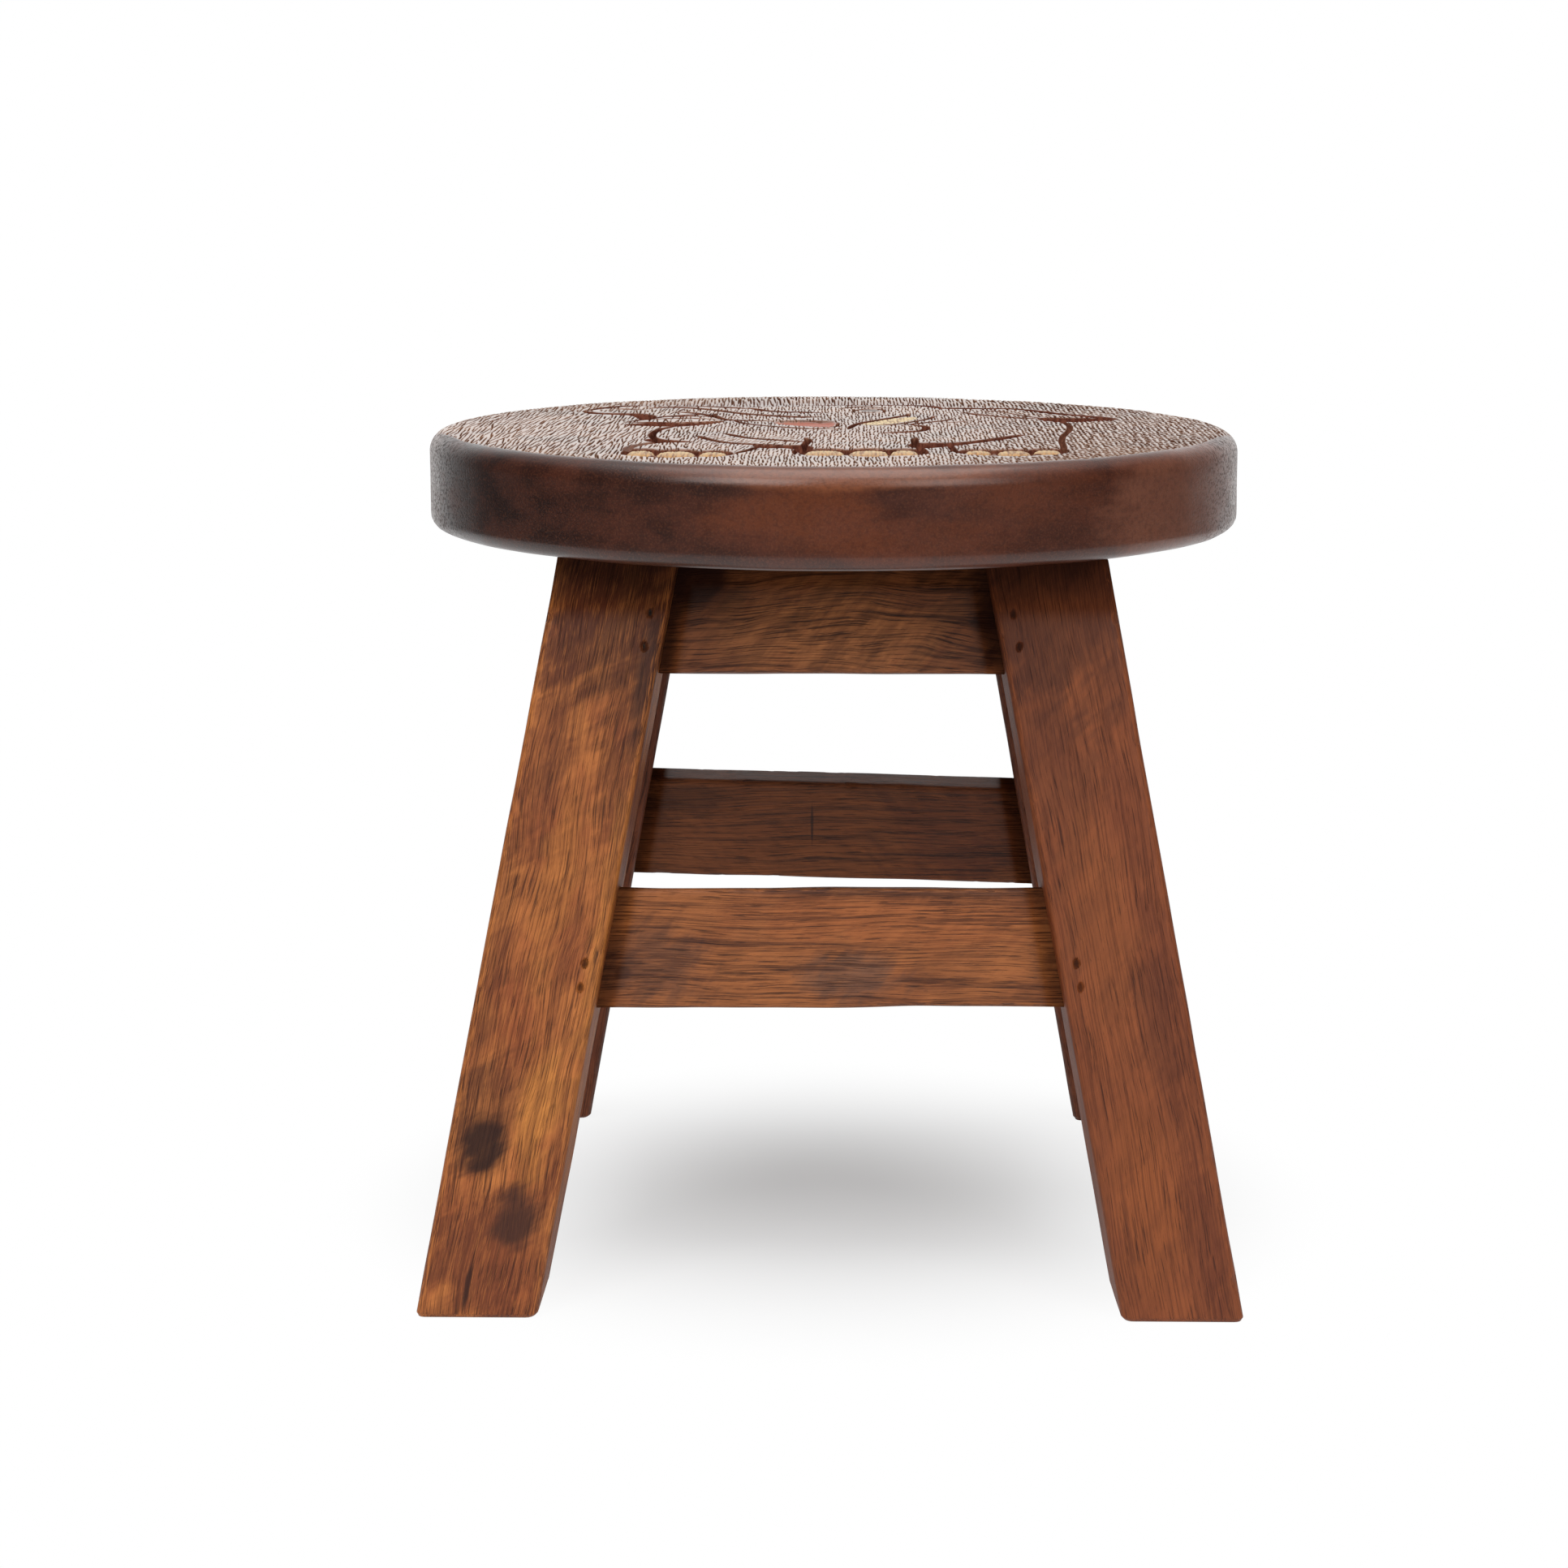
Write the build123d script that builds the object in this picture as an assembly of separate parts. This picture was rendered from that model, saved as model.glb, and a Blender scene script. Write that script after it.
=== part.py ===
from build123d import *
from math import atan, cos, radians, sin, sqrt, tan
import os

# Low round stool with four splayed legs and an elephant carved in the seat.
# Millimetres, +Z up. The origin is on the floor under the centre of the seat;
# -Y is the front, where the carved elephant has its feet.

# Seat
seat_diameter = 255.0
seat_thickness = 30.0
seat_height = 253.0
seat_top_round = 6.4
seat_under_round = 4.4

# Legs: square timber, leaning by the same angle sideways and front to back
leg_side = 35.5
leg_splay = 10.6
leg_arris = 2.2
leg_to_rim = 12.6

# Rails between the legs, depths and heights measured up the outer faces of the legs
rail_thickness = 12.0
rail_arris = 1.2
apron_depth = 34.9
stretcher_height = 91.9
stretcher_depth = 35.6

# Each stretcher was fitted by hand and is a little out of level, in degrees
stretcher_skew = {"front": 0.3, "right": -0.5, "back": 1.5, "left": 0.4}

# Stub tenons on the rails, two of which meet at right angles inside each leg
tenon_thickness = 8.0
tenon_shoulder = 4.0
apron_tenon_drop = 8.0
tenon_clearance = 0.15
mortise_end_gap = 0.8
wall_between_mortises = 1.8

# Headless brads through the tenons, and the screws that hold the seat
brad_diameter = 1.8
brad_inset = 5.2
brad_bite = 5.0
brad_sink = 0.6
apron_brad_heights = (7.4, 17.2)
stretcher_brad_heights = (6.6, 13.8)
screw_shank = 4.0
screw_head = 8.0
screw_head_depth = 2.6
screw_counterbore = 9.0
screw_bite = 15.0
screw_clearance = 0.25

# Carving
carving_depth = 2.2
line_width = 1.5

# The carving is drawn for a seat this wide and grows with the seat
drawn_diameter = 255.0

# Lines of the elephant as (x, y) on the seat, each drawn as one smooth curve
CARVED_LINES = {
    "trunk_ridge": [(-60, 73), (-50, 73.5), (-40, 64), (-28, 49), (-14, 39.5), (-4, 38)],
    "trunk_tip": [(-50, 66), (-51.5, 58)],
    "trunk_under": [(-52, 56), (-44, 49), (-38, 37), (-33, 27), (-20, 24)],
    "forehead": [(-28, 70), (-20, 58.5), (-4, 53)],
    "jaw": [(-32, 25), (-27, 12), (-12, -2), (3, -5)],
    "mouth": [(-19, 21), (-15, 11), (-4, 7), (0, 21)],
    "eye_lid": [(7, 57), (8.5, 66), (16, 68), (16.5, 60)],
    "eye_brow": [(3, 71), (11, 77.5), (18, 72)],
    "tusk_front": [(25, 50), (20, 36), (9, 15), (5, -4)],
    "tusk_back": [(33, 42), (28, 27), (20, 13)],
    "cheek_fold": [(39, 34), (32, 21), (22, 9)],
    "cheek_lobe": [(26, 9), (28.5, -2), (26, -11), (15, -17)],
    "near_ear_top": [(37, 71), (58, 70), (75, 50), (84, 38)],
    "near_ear_low": [(44, 58), (53, 44), (67, 34.5)],
    "near_ear_vein": [(57, 57), (63, 43), (69, 36)],
    "far_ear_upper": [(-57, 36.5), (-45, 39)],
    "far_ear_lower": [(-58, 27), (-48, 31), (-38, 29)],
    "rump": [(73, 20), (75, 0), (70, -30), (69, -60), (68, -78)],
    "chest": [(-51, 2), (-55, -18), (-52, -41), (-43, -49)],
    "chest_fold": [(-34, -21), (-24, -38), (-8, -50)],
    "belly_fold": [(-42, -29), (-32, -50), (-9, -61)],
    "left_leg_back": [(-21, -61), (-25, -73), (-29, -86)],
    "middle_leg_left": [(-7, -34), (-8, -55), (-10, -83)],
    "middle_leg_right": [(25, -33), (25, -58), (27, -83)],
    "right_leg_front": [(36, -60), (37, -80)],
}

# Ground cut away beside the figure, as closed smooth outlines
CARVED_HOLLOWS = {
    "under_trunk": [(-82, 57), (-79, 48), (-66, 43), (-61, 26), (-60, 42), (-64, 49), (-77, 50.5)],
    "under_far_ear": [(-66, 9), (-58, 13.5), (-45, 15), (-40, 18), (-46, 8), (-50, 3), (-57, 5)],
    "behind_near_ear": [(68, 37), (73, 23), (84, 27), (91, 32), (80, 38)],
    "under_belly": [(27, -66), (26, -52), (40, -47), (50, -33), (59, -21), (50, -40), (36, -58)],
}

# Toenails as (centre x, centre y, width, length)
TOENAILS = [
    (-56, -81, 7.5, 15),
    (-45, -83, 9.5, 16),
    (-35, -84.5, 8, 11),
    (-3, -79, 10.5, 15),
    (10.5, -80, 10, 17),
    (21, -78.5, 8, 15),
    (43, -77, 7.5, 10),
    (53.5, -78, 8.5, 12),
    (63.5, -75.5, 8, 11),
]
nail_line_depth = 0.8
nail_line_width = 0.8

# Derived sizes
underside = seat_height - seat_thickness
lean = radians(leg_splay)
splay = tan(lean)
half_span = (seat_diameter / 2 - leg_to_rim) / sqrt(2) + underside * splay
foot_span = 2 * half_span
splay_in_frame = splay * cos(lean)
leg_width_in_frame = leg_side / cos(atan(splay_in_frame))
rail_setback = (leg_side - rail_thickness) / 2
tenon_setback = (leg_side - tenon_thickness) / 2
tenon_length = tenon_setback - tenon_clearance - wall_between_mortises - mortise_end_gap
frame_top = underside / cos(lean)
apron_bottom = frame_top - apron_depth
apron_tenon_top = frame_top - apron_tenon_drop
stretcher_top = stretcher_height + stretcher_depth
stretcher_tenon_top = stretcher_top - tenon_shoulder
overrun = leg_side
drawing = seat_diameter / drawn_diameter

SIDES = {"front": 0, "right": 90, "back": 180, "left": 270}

# The leaning plane of the front frame's outer face: x across, y up the leg, z outward
FRONT = Plane(origin=(0, -half_span, 0), x_dir=(1, 0, 0), z_dir=(0, -cos(lean), sin(lean)))


def upright_slab():
    """Everything between the floor and the underside of the seat."""
    span = 2 * foot_span
    return Pos(0, 0, underside / 2) * Box(span, span, underside)


def inner_edge(height, outward=0.0):
    """Distance of a leg's inner edge from the middle of its frame, at a height up the frame."""
    return half_span - leg_width_in_frame + outward - height * splay_in_frame


def board(low, high, thickness, setback, skew):
    """An overlong board in the front frame, from low to high up the frame."""
    face = Pos(0, (low + high) / 2) * Rot(0, 0, skew) * Rectangle(foot_span, high - low)
    return extrude(FRONT.offset(-setback) * face, -thickness)


def between_legs_of_frame(outward):
    """The space between the two legs of the front frame, let into each leg by outward."""
    past = outward / cos(atan(splay_in_frame))
    low, high = -overrun, frame_top + overrun
    a, b = inner_edge(low, past), inner_edge(high, past)
    outline = make_face(Polyline((-a, low), (a, low), (b, high), (-b, high), close=True))
    return extrude(FRONT * outline, -leg_side)


def between_frames(outward):
    """The space between the front and back frames, let into each by outward."""
    low, high = -overrun, underside + overrun
    reach = half_span - (leg_side - outward) / cos(lean)
    a, b = reach - low * splay, reach - high * splay
    outline = make_face(Polyline((-a, low), (a, low), (b, high), (-b, high), close=True))
    return extrude(Plane.YZ * outline, foot_span, both=True)


def rail_space(side, outward):
    """The clear space for a rail on the given side, in the position of a front rail."""
    if side in ("front", "back"):
        return between_legs_of_frame(outward)
    return between_frames(outward).rotate(Axis.Z, 90)


def tongue(low, tenon_high, skew, gap=0.0):
    """The board a rail's tenons are cut from, or with a gap round it the board of their sockets."""
    low += tenon_shoulder - gap
    return board(low, tenon_high + gap, tenon_thickness + 2 * gap, tenon_setback - gap, skew)


def rail(side, low, high, tenon_high, skew=0.0):
    """One rail with its two tenons, in the position of a front rail."""
    body = board(low, high, rail_thickness, rail_setback, skew)
    long_edges = [edge for edge in body.edges() if edge.length > leg_side]
    body = fillet(long_edges, rail_arris) & rail_space(side, 0)
    tenons = tongue(low, tenon_high, skew) & rail_space(side, tenon_length)
    return (body + tenons) & upright_slab()


def mortises(side, low, tenon_high, skew=0.0):
    """The sockets for both tenons of a rail, as one solid running between them."""
    return tongue(low, tenon_high, skew, tenon_clearance) & rail_space(side, tenon_length + mortise_end_gap)


def leg_blank():
    """The front left leg before its joints are cut."""
    low, high = -overrun, frame_top + overrun
    a, b = inner_edge(low), inner_edge(high)
    wide = leg_width_in_frame
    outline = make_face(
        Polyline((-a - wide, low), (-a, low), (-b, high), (-b - wide, high), close=True)
    )
    timber = extrude(FRONT * outline, -leg_side)
    long_edges = [edge for edge in timber.edges() if edge.length > underside]
    return fillet(long_edges, leg_arris) & upright_slab()


def brad_axis(u, v):
    """Frame of a brad at a point of the front frame, pointing out of the leg."""
    return Plane(origin=FRONT.from_local_coords((u, v, 0)), z_dir=FRONT.z_dir)


def brad_places(heights, low, skew=0.0):
    """Where brads go in the front frame: two at each end of a rail."""
    places = []
    for height in heights:
        u = inner_edge(low + height, brad_inset)
        rise = u * tan(radians(skew))
        places += [(-u, low + height - rise), (u, low + height + rise)]
    return places


def brad(u, v, mouth):
    """A brad, or its hole when it is carried on out through the leg's face."""
    length = tenon_setback + tenon_thickness + brad_bite
    start = 0 if mouth else -brad_sink
    top = brad_axis(u, v).offset(start)
    return extrude(top * Circle(brad_diameter / 2), -(length + start))


def frame_brads(side, mouth=False):
    """All eight brads of one frame in their final places."""
    places = brad_places(apron_brad_heights, apron_bottom)
    places += brad_places(stretcher_brad_heights, stretcher_height, stretcher_skew[side])
    return [brad(u, v, mouth).rotate(Axis.Z, SIDES[side]) for u, v in places]


def screw_plane():
    """Frame of the seat screw in the front apron, at the mouth of its hole, pointing up."""
    middle = rail_setback + rail_thickness / 2
    return Plane(
        origin=FRONT.from_local_coords((0, apron_bottom, -middle)),
        x_dir=(1, 0, 0),
        z_dir=FRONT.y_dir,
    )


def seat_screw():
    """A countersunk wood screw from the apron up into the seat."""
    tip = frame_top - apron_bottom + screw_bite
    neck = screw_counterbore + screw_head_depth
    profile = Polyline(
        (0, screw_counterbore),
        (screw_head / 2, screw_counterbore),
        (screw_shank / 2, neck),
        (screw_shank / 2, tip - screw_shank),
        (0, tip),
        close=True,
    )
    upright = revolve(Plane.XZ * make_face(profile), Axis.Z)
    return screw_plane().location * upright


def screw_hole():
    """The counterbored, countersunk clearance hole for a seat screw in an apron."""
    loose = screw_shank / 2 + screw_clearance
    wide = screw_head / 2
    neck = screw_counterbore + (wide - loose) / (wide - screw_shank / 2) * screw_head_depth
    top = frame_top - apron_bottom + leg_side
    profile = Polyline(
        (0, -leg_side),
        (wide + screw_clearance, -leg_side),
        (wide + screw_clearance, screw_counterbore),
        (wide, screw_counterbore),
        (loose, neck),
        (loose, top),
        (0, top),
        close=True,
    )
    return screw_plane().location * revolve(Plane.XZ * make_face(profile), Axis.Z)


def cut_from_top(outline, depth):
    """The wood an outline on the seat takes away down to a depth."""
    return extrude(Pos(0, 0, seat_height - depth) * outline, 2 * depth)


def on_seat(points):
    """Points of the drawing at their places on the seat."""
    return [(x * drawing, y * drawing) for x, y in points]


def groove(points):
    """The outlines of a groove along a smooth line: its band and its round ends."""
    path = Spline(*points) if len(points) > 2 else Line(*points)
    ends = [Pos(*point) * Circle(line_width / 2) for point in (points[0], points[-1])]
    return [trace(path, line_width), *ends]


def toenail(x, y, width, length):
    """The outline of the shallow line round one toenail."""
    wide, long = width * drawing / 2, length * drawing / 2
    ring = Ellipse(wide, long) - Ellipse(wide - nail_line_width, long - nail_line_width)
    return Pos(x * drawing, y * drawing) * ring


def carving():
    """Everything that is cut out of the top of the seat."""
    outlines = [outline for points in CARVED_LINES.values() for outline in groove(on_seat(points))]
    outlines += [make_face(Spline(*on_seat(points), periodic=True)) for points in CARVED_HOLLOWS.values()]
    cuts = [cut_from_top(outline, carving_depth) for outline in outlines]
    return cuts + [cut_from_top(toenail(*nail), nail_line_depth) for nail in TOENAILS]


def seat():
    """The carved disc, with pilot holes for its screws."""
    disc = Pos(0, 0, underside + seat_thickness / 2) * Cylinder(seat_diameter / 2, seat_thickness)
    rims = disc.edges().filter_by(GeomType.CIRCLE).sort_by(Axis.Z)
    disc = fillet(rims[-1], seat_top_round)
    rims = disc.edges().filter_by(GeomType.CIRCLE).sort_by(Axis.Z)
    disc = fillet(rims[0], seat_under_round)
    for cut in carving():
        disc -= cut
    for turn in SIDES.values():
        disc -= seat_screw().rotate(Axis.Z, turn)
    return disc


def drilled(timber, side):
    """A timber in its final place with the brad holes of one frame cut."""
    for hole in frame_brads(side, mouth=True):
        timber -= hole
    return timber


def apron(side):
    """One apron in its final place, drilled for its seat screw and its brads."""
    timber = rail(side, apron_bottom, frame_top + overrun, apron_tenon_top) - screw_hole()
    return drilled(timber.rotate(Axis.Z, SIDES[side]), side)


def stretcher(side):
    """One stretcher in its final place, drilled for its brads."""
    timber = rail(side, stretcher_height, stretcher_top, stretcher_tenon_top, stretcher_skew[side])
    return drilled(timber.rotate(Axis.Z, SIDES[side]), side)


def leg(blank, sides):
    """A leg in its final place with the mortises and brad holes of its two frames."""
    for side in sides:
        sockets = mortises(side, apron_bottom, apron_tenon_top)
        sockets += mortises(side, stretcher_height, stretcher_tenon_top, stretcher_skew[side])
        blank = drilled(blank - sockets.rotate(Axis.Z, SIDES[side]), side)
    return blank


def legs():
    """The four legs by name."""
    left = leg_blank()
    right = left.mirror(Plane.YZ)
    return {
        "leg_front_left": leg(left, ("front", "left")),
        "leg_front_right": leg(right, ("front", "right")),
        "leg_back_left": leg(right.rotate(Axis.Z, SIDES["back"]), ("back", "left")),
        "leg_back_right": leg(left.rotate(Axis.Z, SIDES["back"]), ("back", "right")),
    }


def parts():
    """Every node of the stool by name."""
    found = {"seat_top": seat(), **legs()}
    for side in SIDES:
        found[f"apron_{side}"] = apron(side)
        found[f"stretcher_{side}"] = stretcher(side)
        found[f"brads_{side}"] = Compound(frame_brads(side))
    found["seat_screws"] = Compound([seat_screw().rotate(Axis.Z, turn) for turn in SIDES.values()])
    return found


os.makedirs("parts", exist_ok=True)
for name, shape in parts().items():
    export_step(shape, f"parts/{name}.step")
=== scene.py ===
import math
from itertools import product

import bpy
import numpy as np
from mathutils import Matrix, Vector


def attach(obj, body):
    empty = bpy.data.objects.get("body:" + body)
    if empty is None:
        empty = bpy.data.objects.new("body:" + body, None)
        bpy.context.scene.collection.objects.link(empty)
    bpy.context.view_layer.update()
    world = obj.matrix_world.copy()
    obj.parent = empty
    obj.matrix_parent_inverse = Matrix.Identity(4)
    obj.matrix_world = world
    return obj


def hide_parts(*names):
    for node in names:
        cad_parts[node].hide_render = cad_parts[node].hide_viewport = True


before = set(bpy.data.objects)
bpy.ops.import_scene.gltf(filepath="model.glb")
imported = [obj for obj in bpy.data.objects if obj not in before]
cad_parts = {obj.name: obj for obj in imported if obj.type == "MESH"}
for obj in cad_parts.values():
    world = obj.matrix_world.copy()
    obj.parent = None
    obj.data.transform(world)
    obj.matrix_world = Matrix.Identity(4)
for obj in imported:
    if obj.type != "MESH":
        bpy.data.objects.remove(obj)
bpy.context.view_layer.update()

# Looks of the carved elephant stool. Shapes are worked out in millimetres, +Z up,
# with the origin on the floor under the seat and -Y at the front, and are scaled
# to metres when a mesh is made.
MM = 0.001

# The stool's sizes
SEAT_RADIUS = 127.5
SEAT_TOP = 253.0
SEAT_UNDER = 223.0
TOP_ROUND = 6.4
UNDER_ROUND = 4.4
LEG_SIDE = 35.5
LEAN = math.radians(10.6)
SPLAY = math.tan(LEAN)
HALF_SPAN = 122.97
SPLAY_IN_FRAME = SPLAY * math.cos(LEAN)
LEG_WIDTH_IN_FRAME = LEG_SIDE * math.hypot(1, SPLAY_IN_FRAME)
FRAME_TOP = SEAT_UNDER / math.cos(LEAN)
LEG_ARRIS = 2.4
RAIL_THICKNESS = 12.0
RAIL_ARRIS = 1.5
RAIL_SETBACK = (LEG_SIDE - RAIL_THICKNESS) / 2
APRON_BOTTOM = FRAME_TOP - 34.9
STRETCHER_BOTTOM = 91.9
STRETCHER_TOP = STRETCHER_BOTTOM + 35.6
STRETCHER_SKEW = {"front": 0.3, "right": -0.5, "back": 1.5, "left": 0.4}
STRETCHER_LIFT = {"back": 2.4}
BRAD_INSET = 5.2
BRAD_HEIGHTS = (APRON_BOTTOM + 7.4, APRON_BOTTOM + 17.2, STRETCHER_BOTTOM + 6.6, STRETCHER_BOTTOM + 13.8)
NICK_DEPTH = 0.5
CHIP_DEPTH = 0.25
DENT_DEPTH = 0.5
DENT_RADIUS = 0.85
DENT_STAIN_RADIUS = 1.0
SIDES = {"front": 0, "right": 90, "back": 180, "left": 270}

# Unit axes of the leaning front frame: across it, up it and out of it
ACROSS = np.array([1.0, 0.0, 0.0])
UP = np.array([0.0, math.sin(LEAN), math.cos(LEAN)])
OUT = np.array([0.0, -math.cos(LEAN), math.sin(LEAN)])


# ------ numbers

def smoothstep(low, high, x):
    t = np.clip((x - low) / (high - low), 0, 1)
    return t * t * (3 - 2 * t)


def value_noise(points, period, seed):
    """Smooth noise from -1 to 1 at points of shape (n, 3), varying over a period in mm."""
    table = np.random.default_rng(seed).uniform(-1, 1, 4096)
    places = points / period
    cell = np.floor(places).astype(np.int64)
    t = places - cell
    t = t * t * (3 - 2 * t)
    total = np.zeros(len(points))
    for corner in product((0, 1), repeat=3):
        at = cell + corner
        key = (at[:, 0] * 73856093 ^ at[:, 1] * 19349663 ^ at[:, 2] * 83492791) & 4095
        weight = np.prod(np.where(corner, t, 1 - t), axis=1)
        total += weight * table[key]
    return total


CURVE_STEP = 0.8


def smooth_curve(points, closed=False):
    """Points along a smooth line through the given points, about a step apart."""
    p = np.array(points, float)
    if closed:
        p = np.vstack([p[-1], p, p[0], p[1]])
    else:
        p = np.vstack([2 * p[0] - p[1], p, 2 * p[-1] - p[-2]])
    found = []
    for a, b, c, d in zip(p, p[1:], p[2:], p[3:]):
        count = max(2, int(np.linalg.norm(c - b) / CURVE_STEP))
        t = np.linspace(0, 1, count, endpoint=False)[:, None]
        found.append(0.5 * (2 * b + (c - a) * t + (2 * a - 5 * b + 4 * c - d) * t**2
                            + (3 * b - a - 3 * c + d) * t**3))
    found.append(p[-2][None])
    return np.vstack(found)


# ------ the carving
# It is worked out on a fine square raster over the seat, as depths in mm.

CELL = 0.2
RASTER_HALF = 132.0
RASTER_SIZE = int(2 * RASTER_HALF / CELL) + 1
AXIS = np.linspace(-RASTER_HALF, RASTER_HALF, RASTER_SIZE)
GROOVE_TAPER = 8.0
# Grooves are narrower from side to side than towards and away from the viewer
GROOVE_SQUEEZE_X, GROOVE_SQUEEZE_Y = 1.6, 0.82

# Cut lines of the elephant: depth, then the widths of the slopes to the left and to
# the right of the direction of travel, then the line as (x, y) on the seat
LINES = [
    # Trunk, raised over the head
    (2.0, 2.2, 4.0, [(-62, 70), (-57, 73.5), (-50, 73), (-40, 64), (-28, 49), (-14, 39.5), (-4, 38)]),
    (1.5, 2.5, 3.5, [(-28, 70), (-33, 72), (-40, 76), (-50, 80), (-65, 80), (-75, 72), (-82, 60)]),
    (2.4, 1.6, 2.6, [(-82.5, 62), (-82, 55), (-78, 49), (-70, 47.5), (-63, 46), (-60, 40), (-61, 27)]),
    (1.6, 1.4, 1.8, [(-50, 67), (-51.5, 57)]),
    (0.9, 3.0, 3.0, [(-76, 68), (-70, 66), (-62, 63)]),
    (2.1, 2.2, 3.4, [(-52, 56), (-44, 49), (-38, 37), (-33, 27), (-20, 24)]),
    (1.4, 1.8, 1.8, [(-38, 52), (-39.5, 45), (-36, 35)]),
    # Head, mouth and eye
    (2.0, 4.0, 2.2, [(-29, 72), (-20, 58.5), (-4, 53)]),
    (1.5, 6.0, 2.0, [(-28, 76), (-20, 80), (0, 84), (15, 85), (25, 84), (32, 78), (36, 72)]),
    (2.0, 1.6, 2.6, [(-32, 25), (-27, 12), (-12, -2), (3, -5)]),
    (1.5, 1.5, 1.3, [(-20, 22), (-16, 12), (-8, 4), (0, 2), (1.5, 12), (1, 21)]),
    (1.0, 2.0, 1.5, [(-20, 23), (-10, 25), (1, 22)]),
    (1.9, 1.5, 1.8, [(6, 56), (7, 62), (10, 68), (15, 68.5), (17, 62), (16.5, 56)]),
    (1.5, 1.3, 1.3, [(6, 56), (11, 54), (16.5, 56)]),
    (1.6, 2.0, 2.0, [(2, 70), (7, 76.5), (12, 77), (18, 72)]),
    # Tusk and cheek
    (2.3, 1.5, 3.2, [(25, 51), (24.5, 44), (20, 36), (9, 15), (5, -5)]),
    (2.1, 2.6, 1.4, [(33, 43), (31, 34), (28, 27), (20, 13), (12, 9)]),
    (1.8, 2.0, 2.0, [(39, 35), (37, 28), (32, 21), (22, 9)]),
    (1.1, 1.4, 1.4, [(45, 26.5), (40, 21), (34, 19)]),
    (2.2, 4.2, 1.6, [(25, 10), (28.5, 4), (28.5, -4), (26, -11), (15, -17)]),
    # Ear on the right
    (1.9, 4.5, 1.6, [(36, 71), (46, 71.5), (58, 70), (68, 60), (75, 50), (84, 41), (92, 34)]),
    (2.1, 1.6, 4.0, [(43, 59), (47, 51), (53, 44), (60, 38), (67, 34.5)]),
    (1.6, 1.6, 1.6, [(56, 58), (60, 50), (63, 43), (69, 35)]),
    (1.4, 1.6, 1.6, [(67, 60), (72, 53), (76, 47)]),
    (1.2, 1.5, 1.5, [(48, 64), (54, 62), (60, 56)]),
    # Ear on the left
    (1.6, 3.0, 2.0, [(-66, 19), (-60, 28), (-55, 37), (-46, 44), (-42, 48)]),
    (1.3, 1.6, 1.6, [(-58, 36), (-51, 37.5), (-45, 39), (-38, 38)]),
    (1.3, 1.6, 1.6, [(-60, 27), (-54, 30), (-48, 31), (-37, 29)]),
    (1.8, 1.6, 2.6, [(-67, 16), (-58, 16.5), (-48, 17.5), (-40, 20), (-34, 25)]),
    (1.3, 1.2, 1.2, [(-69, 29), (-68, 24), (-67, 19)]),
    (1.1, 1.1, 1.1, [(-64.5, 24), (-64, 18)]),
    # Back, chest and belly
    (1.2, 2.6, 2.2, [(69, 34), (73, 24), (75, 9), (74, -8), (71, -27), (69.5, -45), (69, -62), (68, -79)]),
    (2.2, 2.0, 3.4, [(-50, 2), (-54.5, -10), (-55.5, -27), (-53, -41), (-44, -48)]),
    (2.1, 3.2, 2.2, [(-34, -20), (-30, -29), (-24, -38), (-8, -50)]),
    (2.3, 2.2, 3.4, [(-42, -28), (-38, -39), (-32, -50), (-22, -57), (-9, -61)]),
    # Legs
    (1.0, 2.2, 5.0, [(-47, -47), (-54, -53), (-59, -64), (-61, -78)]),
    (2.1, 3.4, 1.6, [(-21, -60), (-23, -66), (-25, -74), (-29, -86)]),
    (2.2, 1.8, 3.6, [(-8, -33), (-7, -44), (-8, -58), (-11, -84)]),
    (2.2, 3.6, 1.8, [(25, -31), (24.5, -44), (25, -60), (27.5, -84)]),
    (1.8, 1.6, 3.4, [(36, -57), (36, -66), (37, -81)]),
    # Soles
    (1.3, 1.2, 4.0, [(-61, -79), (-59, -87), (-50, -94), (-42, -92.5), (-33, -91), (-29, -86)]),
    (1.3, 1.2, 4.0, [(-11, -83), (-5, -88), (4, -87), (10, -90.5), (18, -88), (27, -84)]),
    (1.2, 1.2, 4.0, [(37, -81), (43, -84), (53, -86.5), (62, -84), (69, -79)]),
]

# Ground and folds cut away smoothly beside the figure: depth and closed outline
HOLLOWS = [
    # Under the trunk and the far ear, and behind the near ear
    (2.1, [(-82, 57), (-79, 48), (-66, 43), (-61, 26), (-59, 40), (-64, 49), (-77, 50.5)]),
    (2.2, [(-66, 9), (-58, 13.5), (-45, 15), (-36, 21), (-44, 8), (-50, 3), (-57, 5)]),
    (2.2, [(68, 37), (73, 23), (84, 27), (92, 33), (80, 38)]),
    # Under the belly, between the legs and before the left one
    (2.4, [(26, -66), (25, -52), (40, -47), (50, -33), (59, -21), (50, -40), (36, -58)]),
    (2.2, [(-22, -60), (-8, -60), (-8, -72), (-14, -67), (-20, -67)]),
    (1.8, [(-56, -40), (-46, -46), (-43, -49), (-54, -48)]),
]

# Toenails as (centre x, centre y, width, length)
TOENAILS = [
    (-56.5, -81, 8.6, 16.5), (-46, -83, 11.6, 17.5), (-35, -84.5, 9.0, 13),
    (-2.3, -78.5, 11.8, 16.5), (10.8, -80, 12.2, 19), (21.3, -78.5, 8.6, 16),
    (43, -77, 8.6, 11.5), (53.5, -78, 10.2, 13.5), (63.5, -75.5, 8.8, 12.5),
]
TUSK = [(9, 16), (14, 26), (19, 32.5), (24, 38), (27, 38), (27, 33), (24, 24), (19, 15), (15, 11.5), (10, 11)]
MOUTH = [(-18.5, 21.5), (-15, 13), (-8, 6), (-1, 4), (0.3, 12), (0, 22), (-9, 23)]
PUPIL = [(9, 60), (9.5, 65), (13, 66.5), (15.5, 63), (15, 59), (11, 58)]
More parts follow.
